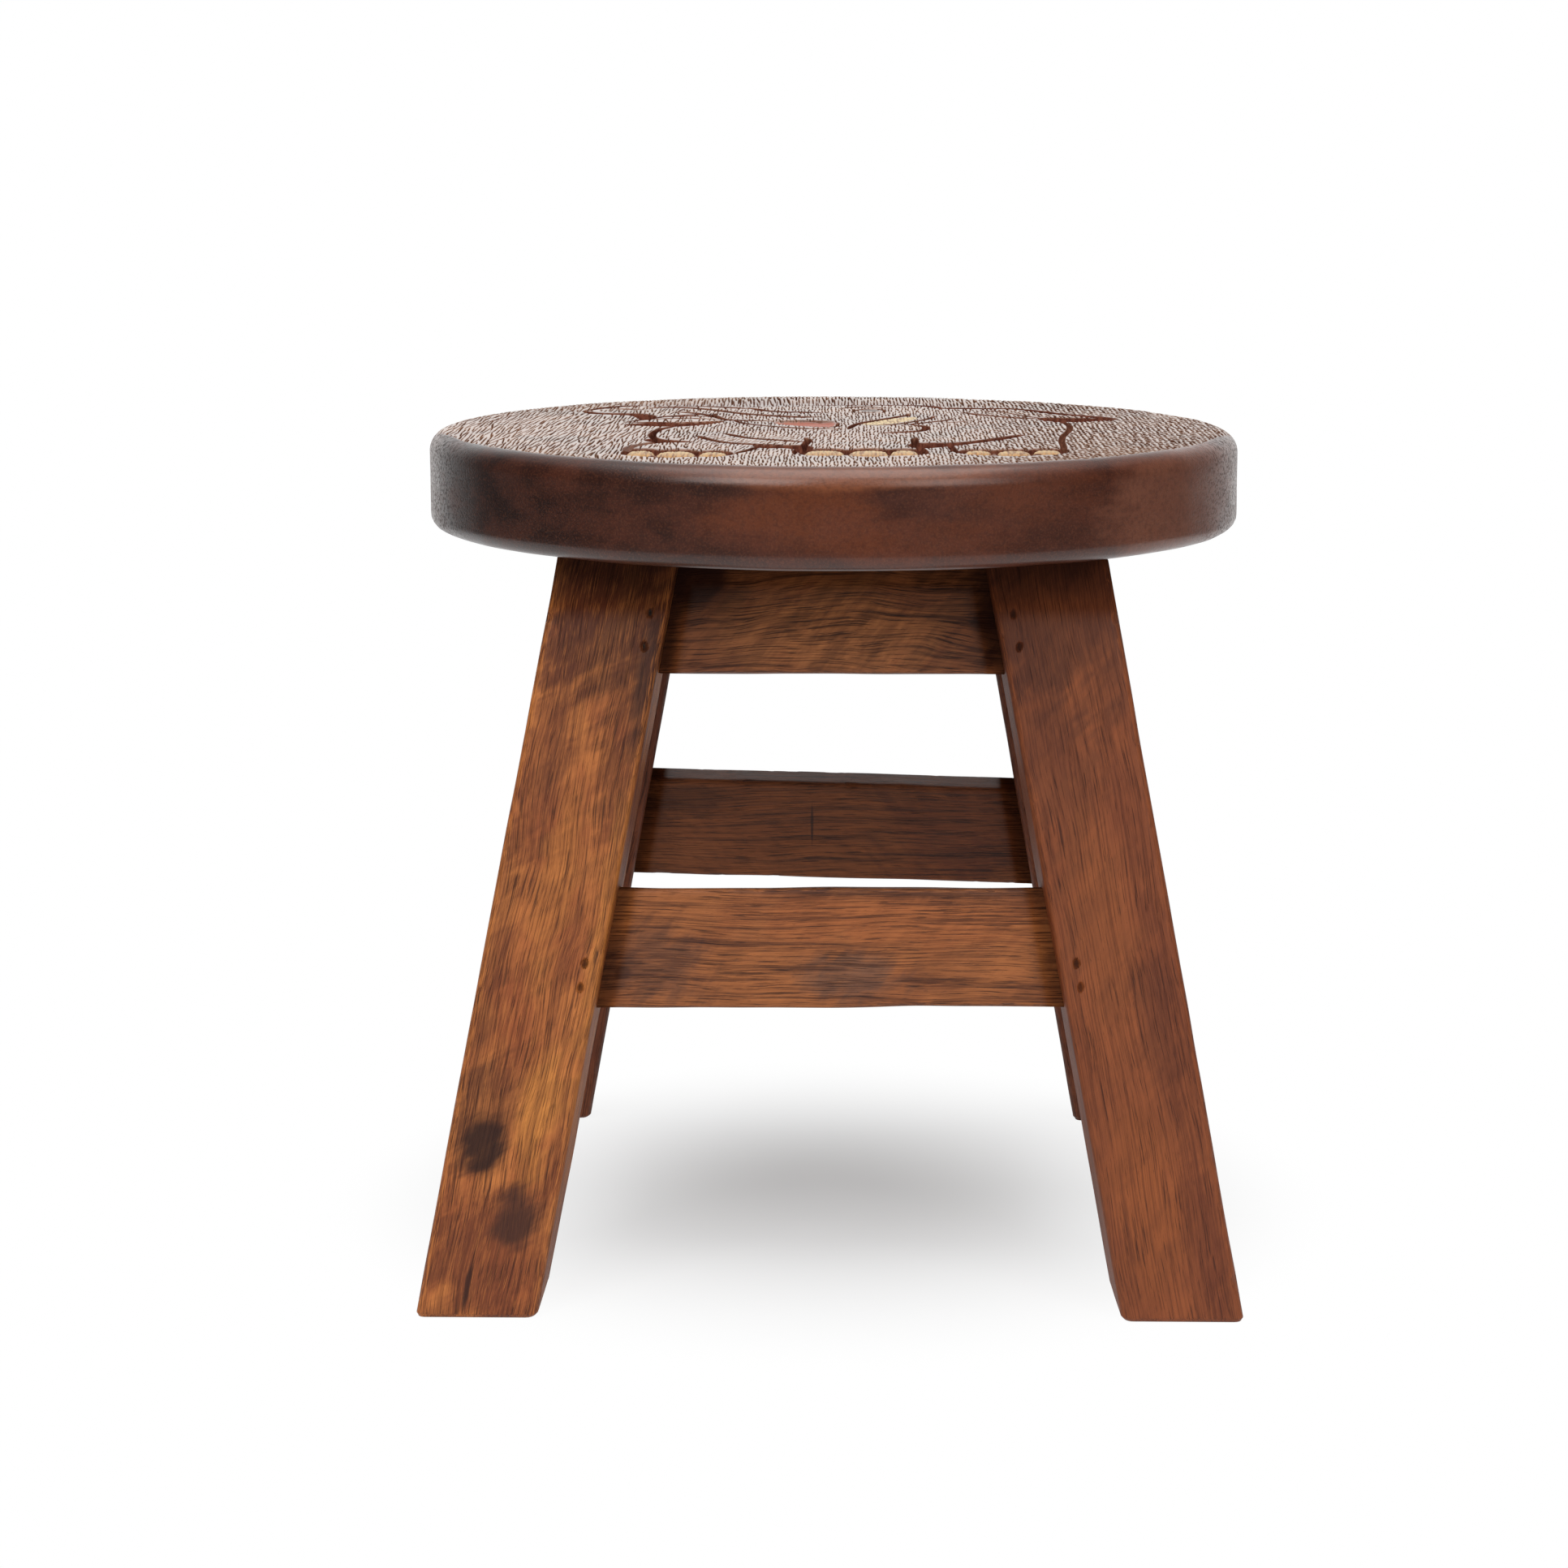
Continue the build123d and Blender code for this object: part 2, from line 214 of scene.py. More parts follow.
# Ground behind the head, cut a little lower and darkened with painted shade
DARK_GROUND = [
    (-72, 84), (-40, 84), (-26, 80), (0, 89), (25, 90), (40, 82), (60, 79), (50, 88), (0, 101), (-40, 97),
]


def window(points, margin):
    """Slices of the raster round some points, and the coordinates there."""
    low = np.floor((points.min(0) - margin + RASTER_HALF) / CELL).astype(int)
    high = np.ceil((points.max(0) + margin + RASTER_HALF) / CELL).astype(int) + 1
    low, high = np.clip(low, 0, RASTER_SIZE), np.clip(high, 0, RASTER_SIZE)
    x, y = np.meshgrid(AXIS[low[0]:high[0]], AXIS[low[1]:high[1]])
    return (slice(low[1], high[1]), slice(low[0], high[0])), x, y


def cut_line(depths, stain, depth, left, right, points):
    """Cuts a groove with a narrow floor, a slope of its own on each side and pointed ends, and stains it."""
    path = smooth_curve(points)
    along = np.append(0, np.cumsum(np.linalg.norm(np.diff(path, axis=0), axis=1)))
    for i in range(len(path) - 1):
        place, x, y = window(path[i:i + 2], 1.3 * max(left, right))
        (ax, ay), (dx, dy) = path[i], path[i + 1] - path[i]
        px, py = x - ax, y - ay
        length = math.hypot(dx, dy)
        t = np.clip((px * dx + py * dy) / length**2, 0, 1)
        distance = np.hypot(GROOVE_SQUEEZE_X * (px - t * dx), GROOVE_SQUEEZE_Y * (py - t * dy))
        travelled = along[i] + t * length
        from_end = np.minimum(travelled, along[-1] - travelled)
        swell = smoothstep(-GROOVE_TAPER * 0.35, GROOVE_TAPER, from_end)
        reach = 0.75 * np.where(dx * py - dy * px > 0, left, right) * (0.45 + 0.55 * swell)
        cut = depth * swell * (1 - smoothstep(0.2, 1.0, distance / reach))
        depths[place] = np.maximum(depths[place], cut)
        dark = smoothstep(0.3, 1.7, depth) * np.sqrt(swell) * smoothstep(1.12, 0.85, distance / reach)
        stain[place] = np.maximum(stain[place], dark)


def blur(values, width):
    """A Gaussian blur of a raster, with its width in mm."""
    reach = int(3 * width / CELL) + 1
    weights = np.exp(-0.5 * (np.arange(-reach, reach + 1) * CELL / width) ** 2)
    weights /= weights.sum()
    for axis in (0, 1):
        padded = np.pad(values, [(reach, reach) if a == axis else (0, 0) for a in (0, 1)])
        size = values.shape[axis]
        values = sum(w * np.take(padded, range(k, k + size), axis=axis) for k, w in enumerate(weights))
    return values


def filled(points, width):
    """A raster that is 1 inside a smooth closed outline, with a soft edge."""
    outline = smooth_curve(points, closed=True)
    mask = np.zeros((RASTER_SIZE, RASTER_SIZE))
    place, x, y = window(outline, 1.0)
    inside = np.zeros(x.shape, bool)
    for (ax, ay), (bx, by) in zip(outline, np.roll(outline, -1, axis=0)):
        if ay != by:
            inside ^= ((ay > y) != (by > y)) & (x < (bx - ax) * (y - ay) / (by - ay) + ax)
    mask[place] = inside
    around, _, _ = window(outline, 4 * width + 1)
    mask[around] = blur(mask[around], width)
    return mask


def toenail(nail):
    """Depth, paint and height along one toenail on its window of the raster: a dome in a ring."""
    cx, cy, wide, long = nail
    corners = np.array([(cx - wide, cy - long), (cx + wide, cy + long)])
    place, x, y = window(corners, 0)
    e = (np.abs((x - cx) / (wide / 2)) ** 2.6 + np.abs((y - cy) / (long / 2)) ** 2.6) ** (1 / 2.6)
    tip = np.clip(0.5 + (y - cy) / long, 0, 1)
    ring = (1.0 + 0.8 * tip) * np.exp(-(((e - 1.12) * wide / 2 / 0.8) ** 2))
    dome = 0.05 + 0.75 * np.clip(e, 0, 1) ** 3
    inside = smoothstep(1.0, 0.93, e)
    return place, e, ring, dome, inside, tip


def stroke_lean(x, y):
    """How far the strokes at a place lean to the right, over their length."""
    inwards = smoothstep(0, 36, 126 - math.hypot(x, y))
    drift = 0.05 * value_noise(np.array([[x, y, 0.0]]), 26, 7)[0]
    folds = (0.14 * smoothstep(-6, -14, x) * smoothstep(-44, -36, x)
             * smoothstep(-60, -50, y) * smoothstep(-22, -32, y))
    return 0.06 * smoothstep(-25, -100, x) * inwards - 0.1 * smoothstep(15, 85, x) + drift + folds


def gouge_strokes(quiet):
    """The short tool strokes all over the top: their depth, 0 to 1, on the raster.

    Strokes run away from the viewer and lean towards the middle. They are long and fine on
    the left and at the back, short and broad on the right, and fade where quiet is 1."""
    rng = np.random.default_rng(41)
    strokes = np.zeros((RASTER_SIZE, RASTER_SIZE))
    field = 130.0
    x = -field
    while x < field:
        left, right = smoothstep(-30, -80, x), smoothstep(30, 80, x)
        y = -field + rng.uniform(0, 8)
        while y < field:
            back = smoothstep(72, 95, y) * (1 - 0.5 * right)
            length = rng.uniform(3.5, 8.0) + 2.0 * (1 - right) + max(left, back) * rng.uniform(0, 13)
            cx, cy = x + rng.uniform(-0.3, 0.3), y + length / 2
            y += length * rng.uniform(0.86, 1.12)
            if math.hypot(cx, cy) > 131.5:
                continue
            row, column = (min(int(round((v + RASTER_HALF) / CELL)), RASTER_SIZE - 1) for v in (cy, cx))
            loud = 1 - quiet[row, column]
            if loud < 0.25:
                continue
            turn, half = rng.normal(0, 0.04 - 0.02 * back), length / 2
            low, high = stroke_lean(cx, cy - half) + turn, stroke_lean(cx, cy + half) + turn
            width = rng.uniform(0.26, 0.36) + 0.26 * right + 0.04 * max(left, back)
            ends = (cx - half * low, cx, cx + half * high), (cy - half, cy + half)
            stamp_stroke(strokes, *ends, width, loud * rng.uniform(0.65, 1.0))
        x += 1.12 + 0.08 * left + 0.3 * right
    return strokes * (1 - np.clip(1.6 * quiet - 0.6, 0, 1))


def stamp_stroke(strokes, across, ends, width, strength):
    """Adds one curved stroke with pointed ends, from its x at the low end, middle and high end."""
    (x0, x1, x2), (low, high) = across, ends
    corners = np.array([(min(across), low), (max(across), high)])
    place, x, y = window(corners, 2 * width)
    s = np.clip(2 * (y - low) / (high - low) - 1, -1, 1)
    middle = x1 + (x2 - x0) / 2 * s + (x0 - 2 * x1 + x2) / 2 * s * s
    reach = width * np.clip(1 - s * s, 0, 1) ** 0.4 + 1e-6
    stroke = strength * smoothstep(1.3, 0.3, np.abs(x - middle) / reach) * ((y > low) & (y < high))
    strokes[place] = np.maximum(strokes[place], stroke)


def carve():
    """Rasters of the carved top: depth below the flat in mm, and the masks of its paint."""
    cut = np.zeros((RASTER_SIZE, RASTER_SIZE))
    groove = np.zeros_like(cut)
    for line in LINES:
        cut_line(cut, groove, *line)
    for depth, points in HOLLOWS:
        mask = filled(points, 0.8)
        cut = np.maximum(cut, depth * mask)
        groove = np.maximum(groove, smoothstep(0.02, 0.16, mask))
    ivory = filled(TUSK, 0.35)
    blush = filled(MOUTH, 0.4)
    pupil = filled(PUPIL, 0.35)
    horn = np.full_like(cut, 0.8)
    shade = filled(DARK_GROUND, 3.5)
    cut = np.maximum(cut, 0.9 * shade)
    cut = cut * (1 - blush) + np.maximum(0.9, 0.6 * cut) * blush
    for nail in TOENAILS:
        place, e, ring, dome, inside, tip = toenail(nail)
        cut[place] = np.where(e < 1, dome + ring, np.maximum(cut[place], ring))
        ivory[place] = np.maximum(ivory[place], inside)
        horn[place] = np.where(inside > 0, tip, horn[place])
        groove[place] = np.maximum(groove[place], smoothstep(0.15, 0.6, ring))
    groove = groove * (1 - ivory) * (1 - blush)
    quiet = np.clip(0.5 * ivory + 0.9 * blush + pupil + groove + 0.3 * shade, 0, 1)
    strokes = gouge_strokes(quiet)
    # Painted shade on the flats beside the grooves
    shade = np.maximum(shade, np.clip(1.3 * blur(groove, 1.6), 0, 1)) * (1 - ivory) * (1 - blush)
    return dict(cut=cut, stroke=strokes, groove=groove, ivory=ivory, horn=horn, blush=blush,
                pupil=pupil, shade=shade)


def sample(raster, x, y):
    """Values of a raster between its cells."""
    column = np.clip((x + RASTER_HALF) / CELL, 0, RASTER_SIZE - 1.001)
    row = np.clip((y + RASTER_HALF) / CELL, 0, RASTER_SIZE - 1.001)
    i, j = row.astype(int), column.astype(int)
    s, t = row - i, column - j
    top = raster[i, j] * (1 - t) + raster[i, j + 1] * t
    bottom = raster[i + 1, j] * (1 - t) + raster[i + 1, j + 1] * t
    return top * (1 - s) + bottom * s


# ------ meshes

def add_object(name, data):
    thing = bpy.data.objects.new(name, data)
    bpy.context.scene.collection.objects.link(thing)
    return thing


def make_mesh(name, points, quads, triangles, masks, node):
    """A smooth mesh object from points in mm that rides with the stool and stands for a CAD node."""
    mesh = bpy.data.meshes.new(name)
    mesh.vertices.add(len(points))
    mesh.vertices.foreach_set("co", (points * MM).astype(np.float32).ravel())
    corners = np.append(quads, triangles)
    mesh.loops.add(len(corners))
    mesh.loops.foreach_set("vertex_index", corners.astype(np.int32))
    mesh.polygons.add(len(quads) + len(triangles))
    starts = np.append(np.arange(len(quads)) * 4, 4 * len(quads) + np.arange(len(triangles)) * 3)
    mesh.polygons.foreach_set("loop_start", starts.astype(np.int32))
    mesh.update(calc_edges=True)
    mesh.polygons.foreach_set("use_smooth", np.ones(len(mesh.polygons), bool))
    for mask, values in masks.items():
        mesh.attributes.new(mask, "FLOAT", "POINT").data.foreach_set("value", values.astype(np.float32))
    piece = add_object(name, mesh)
    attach(piece, "root")
    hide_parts(node)
    return piece


def grid_quads(rows, columns, closed=False, start=0):
    """Quads joining a grid of vertices, row by row, round the back too when closed."""
    index = start + np.arange(rows * columns).reshape(rows, columns)
    nxt = np.roll(index, -1, axis=1) if closed else index[:, 1:]
    here = index if closed else index[:, :-1]
    return np.stack([here[:-1], nxt[:-1], nxt[1:], here[1:]], axis=-1).reshape(-1, 4)


def seat_profile(reach):
    """Radius, height and outward normal of the seat at a distance over its surface from the middle."""
    flat = SEAT_RADIUS - TOP_ROUND
    side_start = flat + TOP_ROUND * math.pi / 2
    side = SEAT_TOP - SEAT_UNDER - TOP_ROUND - UNDER_ROUND
    under_start = side_start + side
    a = np.clip((reach - flat) / TOP_ROUND, 0, math.pi / 2)
    b = np.clip((reach - under_start) / UNDER_ROUND, 0, math.pi / 2)
    down = np.clip(reach - side_start, 0, side)
    beyond = np.maximum(reach - under_start - UNDER_ROUND * math.pi / 2, 0)
    radius = np.minimum(reach, flat) + TOP_ROUND * np.sin(a) - UNDER_ROUND * (1 - np.cos(b)) - beyond
    height = SEAT_TOP - TOP_ROUND * (1 - np.cos(a)) - down - UNDER_ROUND * np.sin(b)
    turn = a + b
    return radius, height, np.sin(turn), np.cos(turn)


SHEET_REACH = 127.0
SHEET_COLUMNS, SHEET_ROWS = ((1280, 290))
STROKE_DEPTH = 0.36


def seat_sheet():
    """Unrolled (x, y) places of the fine grid over the carved top, and its boundary in order."""
    u, v = np.meshgrid(np.linspace(-1, 1, SHEET_COLUMNS), np.linspace(-1, 1, SHEET_ROWS))
    x = SHEET_REACH * u * np.sqrt(1 - v * v / 2)
    y = SHEET_REACH * v * np.sqrt(1 - u * u / 2)
    index = np.arange(SHEET_ROWS * SHEET_COLUMNS).reshape(SHEET_ROWS, SHEET_COLUMNS)
    boundary = np.concatenate([index[0, :-1], index[:-1, -1], index[-1, :0:-1], index[:0:-1, 0]])
    return x.ravel(), y.ravel(), boundary


def build_seat():
    """The carved seat: a fine sheet over the top, then rings down the side and under it."""
    maps = carve()
    x, y, boundary = seat_sheet()
    angle = np.arctan2(y[boundary], x[boundary])
    # Rings over the round edge, wider ones down the side and a few under the seat
    down = np.append(np.arange(SHEET_REACH + 0.8, 132, 0.9), np.arange(132, 159, 1.5))
    reaches = np.append(down, down[-1] + (down[-1] - 34) * np.array([0.05, 0.25, 0.5, 0.75, 0.93]))
    on_sheet = len(x)
    x = np.append(x, np.outer(reaches, np.cos(angle)))
    y = np.append(y, np.outer(reaches, np.sin(angle)))
    reach = np.hypot(x, y)
    radius, height, out, up = seat_profile(reach)
    c, s = np.stack([x, y]) / np.maximum(reach, 1e-9)
    # The carving frays out at the rim, sooner at the front
    front = smoothstep(-0.1, 0.3, -s)
    frayed = reach + 0.5 * value_noise(np.stack([x, y, 0 * x], axis=1), 1.3, 9)
    carved = 1 - smoothstep(126 - 5.2 * front, 130 - 7.6 * front, frayed)
    masks = {k: sample(v, x, y) * np.where(reach < RASTER_HALF - CELL, 1, 0) for k, v in maps.items()}
    masks["stroke"] = masks["stroke"] * carved
    depth = masks.pop("cut") * carved + STROKE_DEPTH * masks["stroke"]
    place = np.stack([radius * c, radius * s, height], axis=1)
    uneven = 0.16 * (value_noise(place, 45, 3) - 1) * out + 0.12 * (value_noise(place, 16, 4) - 1)
    depth = depth - uneven
    place -= (depth * np.stack([out * c, out * s, up], axis=0)).T
    count = len(boundary)
    rings = on_sheet + np.arange(len(reaches) * count).reshape(-1, count)
    loops = np.vstack([boundary, rings])
    beside = np.roll(loops, -1, axis=1)
    around = np.stack([loops[:-1], loops[1:], beside[1:], beside[:-1]], axis=-1)
    middle = len(place)
    place = np.vstack([place, [[0, 0, SEAT_UNDER]]])
    fan = np.stack([loops[-1], np.full(count, middle), beside[-1]], axis=-1)
    masks["top"] = np.where(np.arange(len(x)) < on_sheet, carved, 0)
    masks = {k: np.append(v, 0) for k, v in masks.items()}
    quads = np.vstack([grid_quads(SHEET_ROWS, SHEET_COLUMNS), around.reshape(-1, 4)])
    return make_mesh("seat_carved", place, quads, fan, masks, "seat_top")


def rounded_box(wide, deep, corner, step, extra=()):
    """Points and normals round a rectangle with round corners, on a step, and which are on a corner."""
    points, normals = [], []
    for turn in range(4):
        c, s = math.cos(turn * math.pi / 2), math.sin(turn * math.pi / 2)
        half_run, half_out = (deep / 2, wide / 2) if turn % 2 == 0 else (wide / 2, deep / 2)
        stops = np.linspace(-half_run + corner, half_run - corner, max(2, int(2 * half_run / step)))
        stops = np.unique(np.append(stops, [e for e in extra if abs(e) < half_run - corner]))
        for t in stops:
            points.append((half_out * c - t * s, half_out * s + t * c))
            normals.append((c, s))
        for a in np.linspace(0, math.pi / 2, 5)[1:-1]:
            nx, ny = math.cos(a), math.sin(a)
            px, py = half_out - corner + corner * nx, half_run - corner + corner * ny
            points.append((px * c - py * s, px * s + py * c))
            normals.append((nx * c - ny * s, nx * s + ny * c))
    normals = np.array(normals)
    return np.array(points), normals, np.abs(normals).min(axis=1) > 0.05


def add_caps(points, quads, rows, columns):
    """Closes both ends of a closed tube of vertices with shrinking rings and a fan."""
    triangles = []
    grid = np.arange(rows * columns).reshape(rows, columns)
    for end, flip in ((grid[0], True), (grid[-1], False)):
        middle = points[end].mean(0)
        loop = end
        for shrink in (0.93, 0.6, 0.3):
            ring = middle + (points[end] - middle) * shrink
            inner = len(points) + np.arange(columns)
            points = np.vstack([points, ring])
            strip = np.stack([loop, np.roll(loop, -1), np.roll(inner, -1), inner], axis=-1)
            quads = np.vstack([quads, strip[:, ::-1] if flip else strip])
            loop = inner
        fan = np.stack([loop, np.roll(loop, -1), np.full(columns, len(points))], axis=-1)
        triangles.append(fan[:, ::-1] if flip else fan)
        points = np.vstack([points, middle[None]])
    return points, quads, np.vstack(triangles)


def inner_edge(height):
    """Distance of a leg's inner edge from the middle of its frame, at a height up the frame."""
    return HALF_SPAN - LEG_WIDTH_IN_FRAME - height * SPLAY_IN_FRAME


def on_frame(across, up, depth):
    """Points of the front frame: across it, up it and in from its outer face."""
    across, up, depth = np.broadcast_arrays(across, up, depth)
    return (across[..., None] * ACROSS + up[..., None] * UP - depth[..., None] * OUT
            + np.array([0, -HALF_SPAN, 0]))


def leg_axes():
    """The front left leg's axes: sideways out, forwards out and up along it."""
    along = SPLAY_IN_FRAME * ACROSS + UP
    along /= np.linalg.norm(along)
    return np.cross(OUT, along), OUT, along


# The legs and the signs of x, y and z that mirror the front left one into each
LEGS = {
    "leg_front_left": (1, 1, 1),
    "leg_front_right": (-1, 1, 1),
    "leg_back_left": (1, -1, 1),
    "leg_back_right": (-1, -1, 1),
}


def wear(place, edge, seed):
    """Hand-worked unevenness of a timber in mm, outwards, with small nicks on its arrises."""
    uneven = 0.22 * value_noise(place, 42, seed) + 0.1 * value_noise(place, 13, seed + 1)
    nick = smoothstep(0.45, 0.9, value_noise(place, 6, seed + 2)) * edge
    chips = smoothstep(0.5, 0.85, value_noise(place, 2.4, seed + 3)) * edge
    return uneven - NICK_DEPTH * nick - CHIP_DEPTH * chips


def side_turn(side):
    """The matrix that turns the front frame to a side."""
    turn = math.radians(SIDES[side])
    c, s = math.cos(turn), math.sin(turn)
    return np.array([[c, -s, 0], [s, c, 0], [0, 0, 1]])


def brad_places():
    """Places and outward directions of all the brads, each on the outer face of its leg."""
    found = []
    for side in SIDES:
        spin = side_turn(side)
        for index, height in enumerate(BRAD_HEIGHTS):
            skew = 0.0 if index < 2 else STRETCHER_SKEW[side]
            for sign in (-1, 1):
                u = sign * (inner_edge(height) + BRAD_INSET)
                place = on_frame(u, height + u * math.tan(math.radians(skew)), 0.0)
                found.append((spin @ place, spin @ OUT))
    return found


def brad_dents(place, seed):
    """Depth in mm and stain of the dents where brads were driven below the surface."""
    depth, stain = np.zeros(len(place)), np.zeros(len(place))
    ragged = 1 + 0.2 * value_noise(place, 1.6, seed)
    for centre, out in brad_places():
        offset = place - centre
        height = offset @ out
        flat = (offset - height[:, None] * out) * np.array([1, 1, 0.62])
        distance = np.linalg.norm(flat, axis=1) * ragged
        near = np.abs(height) < 2
        depth = np.maximum(depth, near * DENT_DEPTH * np.exp(-((distance / DENT_RADIUS) ** 4)))
        stain = np.maximum(stain, near * np.exp(-((distance / DENT_STAIN_RADIUS) ** 6)))
    return depth, stain


def make_tube(name, place, columns, masks, flip):
    """A tube mesh with caps from rows of vertices, that stands for the node of its name."""
    rows = len(place) // columns
    place, quads, triangles = add_caps(place, grid_quads(rows, columns, closed=True), rows, columns)
    masks = {k: np.append(v, np.zeros(len(place) - len(v))) for k, v in masks.items()}
    if flip:
        quads, triangles = quads[:, ::-1], triangles[:, ::-1]
    return make_mesh(name + "_worn", place, quads, triangles, masks, name)


def build_leg(name, mirror, seed):
    """One leg as a tube of rounded squares, level at both ends, with dents over its brads."""
    sideways, forwards, along = leg_axes()
    brads = np.array(BRAD_HEIGHTS) * math.cos(LEAN)
    at_brads = np.concatenate([np.arange(h - 5, h + 5, 0.55) for h in brads])
    coarse = np.arange(0, SEAT_UNDER + 0.01, 1.6)
    heights = np.concatenate([[0, 0.5, 1.2], coarse, at_brads, [SEAT_UNDER + 0.4]])
    heights = np.unique(np.round(heights, 2))
    over_brads = [k * s for k in np.arange(10.5, 14.6, 0.55) for s in (-1, 1)]
    section, normals, corner = rounded_box(LEG_SIDE, LEG_SIDE, LEG_ARRIS, 1.6, over_brads)
    rows = len(heights)
    centre_v = (heights + LEG_SIDE / 2 * math.sin(LEAN)) / math.cos(LEAN)
    centre = on_frame(-(inner_edge(centre_v) + LEG_WIDTH_IN_FRAME / 2), centre_v, LEG_SIDE / 2)
    slide_a = sideways - sideways[2] / along[2] * along
    slide_b = forwards - forwards[2] / along[2] * along
    # The foot's edge is eased over its lowest 1.2 mm
    foot = np.where(heights < 1.2, 0.8 * (1 - heights / 1.2), 0)
    a, b = (section[None, :, k] * (1 - foot / (LEG_SIDE / 2))[:, None] for k in (0, 1))
    place = centre[:, None, :] + a[..., None] * slide_a + b[..., None] * slide_b
    place = place.reshape(-1, 3)
    outward = np.tile(normals[:, :1] * sideways + normals[:, 1:] * forwards, (rows, 1))
    edge = np.tile(corner, rows)
    dent, stain = brad_dents(place * mirror, seed + 5)
    level = (place[:, 2] < 0.1) | (place[:, 2] > SEAT_UNDER - 1)
    # Painted shade: darker over the leg's top 24 mm, under the seat.
    under_seat = smoothstep(SEAT_UNDER - 24, SEAT_UNDER - 3, place[:, 2])
    place = place + np.where(level, 0, wear(place, edge, seed) - dent)[:, None] * outward
    # Painted shade on the faces that look in towards the middle of the stool.
    inward = np.tile(0.15 * smoothstep(0.5, 0.9, -normals.min(axis=1)), rows)
    # The darkening mask holds the stains round the brads and the painted shade above.
    masks = {"arris": edge, "stain_and_shade": np.maximum(np.maximum(stain, 0.9 * under_seat), inward)}
    return make_tube(name, place * mirror, len(section), masks, mirror[0] * mirror[1] < 0)


def build_rail(name, side, low, high, skew, seed):
    """One rail as a tube of rounded rectangles between the legs of its frame."""
    section, normals, corner = rounded_box(high - low, RAIL_THICKNESS, RAIL_ARRIS, 1.2)
    rows = int(inner_edge(low) * 2 / 1.3)
    v = (low + high) / 2 + section[None, :, 0]
    w = RAIL_SETBACK + RAIL_THICKNESS / 2 + section[None, :, 1]
    end = inner_edge(v) + 1.0
    u = np.linspace(-1, 1, rows)[:, None] * end
    place = on_frame(u, v + u * math.tan(math.radians(skew)), w).reshape(-1, 3)
    outward = np.tile(normals[:, :1] * UP - normals[:, 1:] * OUT, (rows, 1))
    edge = np.tile(corner, rows)
    sawn = 0.35 * value_noise(place, 24, seed + 8) * np.tile(np.abs(normals[:, 0]) > 0.5, rows)
    # Painted shade: the rail is darkened at its ends beside the legs and at its top under the seat.
    joint = smoothstep(9, 1, (end - np.abs(u)).ravel())
    under_seat = smoothstep(SEAT_UNDER - 16, SEAT_UNDER - 2, place[:, 2])
    masks = {"arris": edge, "stain_and_shade": np.maximum(0.75 * joint, 0.85 * under_seat)}
    place = place + (wear(place, edge, seed) + sawn)[:, None] * outward
    place[:, 2] = np.minimum(place[:, 2], SEAT_UNDER + 0.4)
    return make_tube(name, place @ side_turn(side).T, len(section), masks, True)


# ------ materials

def linear(colour):
    """A tuple of three screen values, 11 to 255, as a linear colour. Sockets and lists stay as they are."""
    if not isinstance(colour, tuple):
        return colour
    return [((value / 255 + 0.055) / 1.055) ** 2.4 for value in colour] + [1.0]


def darker(colour, share):
    """A linear colour with a share of a screen colour's light."""
    return [value * share for value in linear(colour)[:3]] + [1.0]


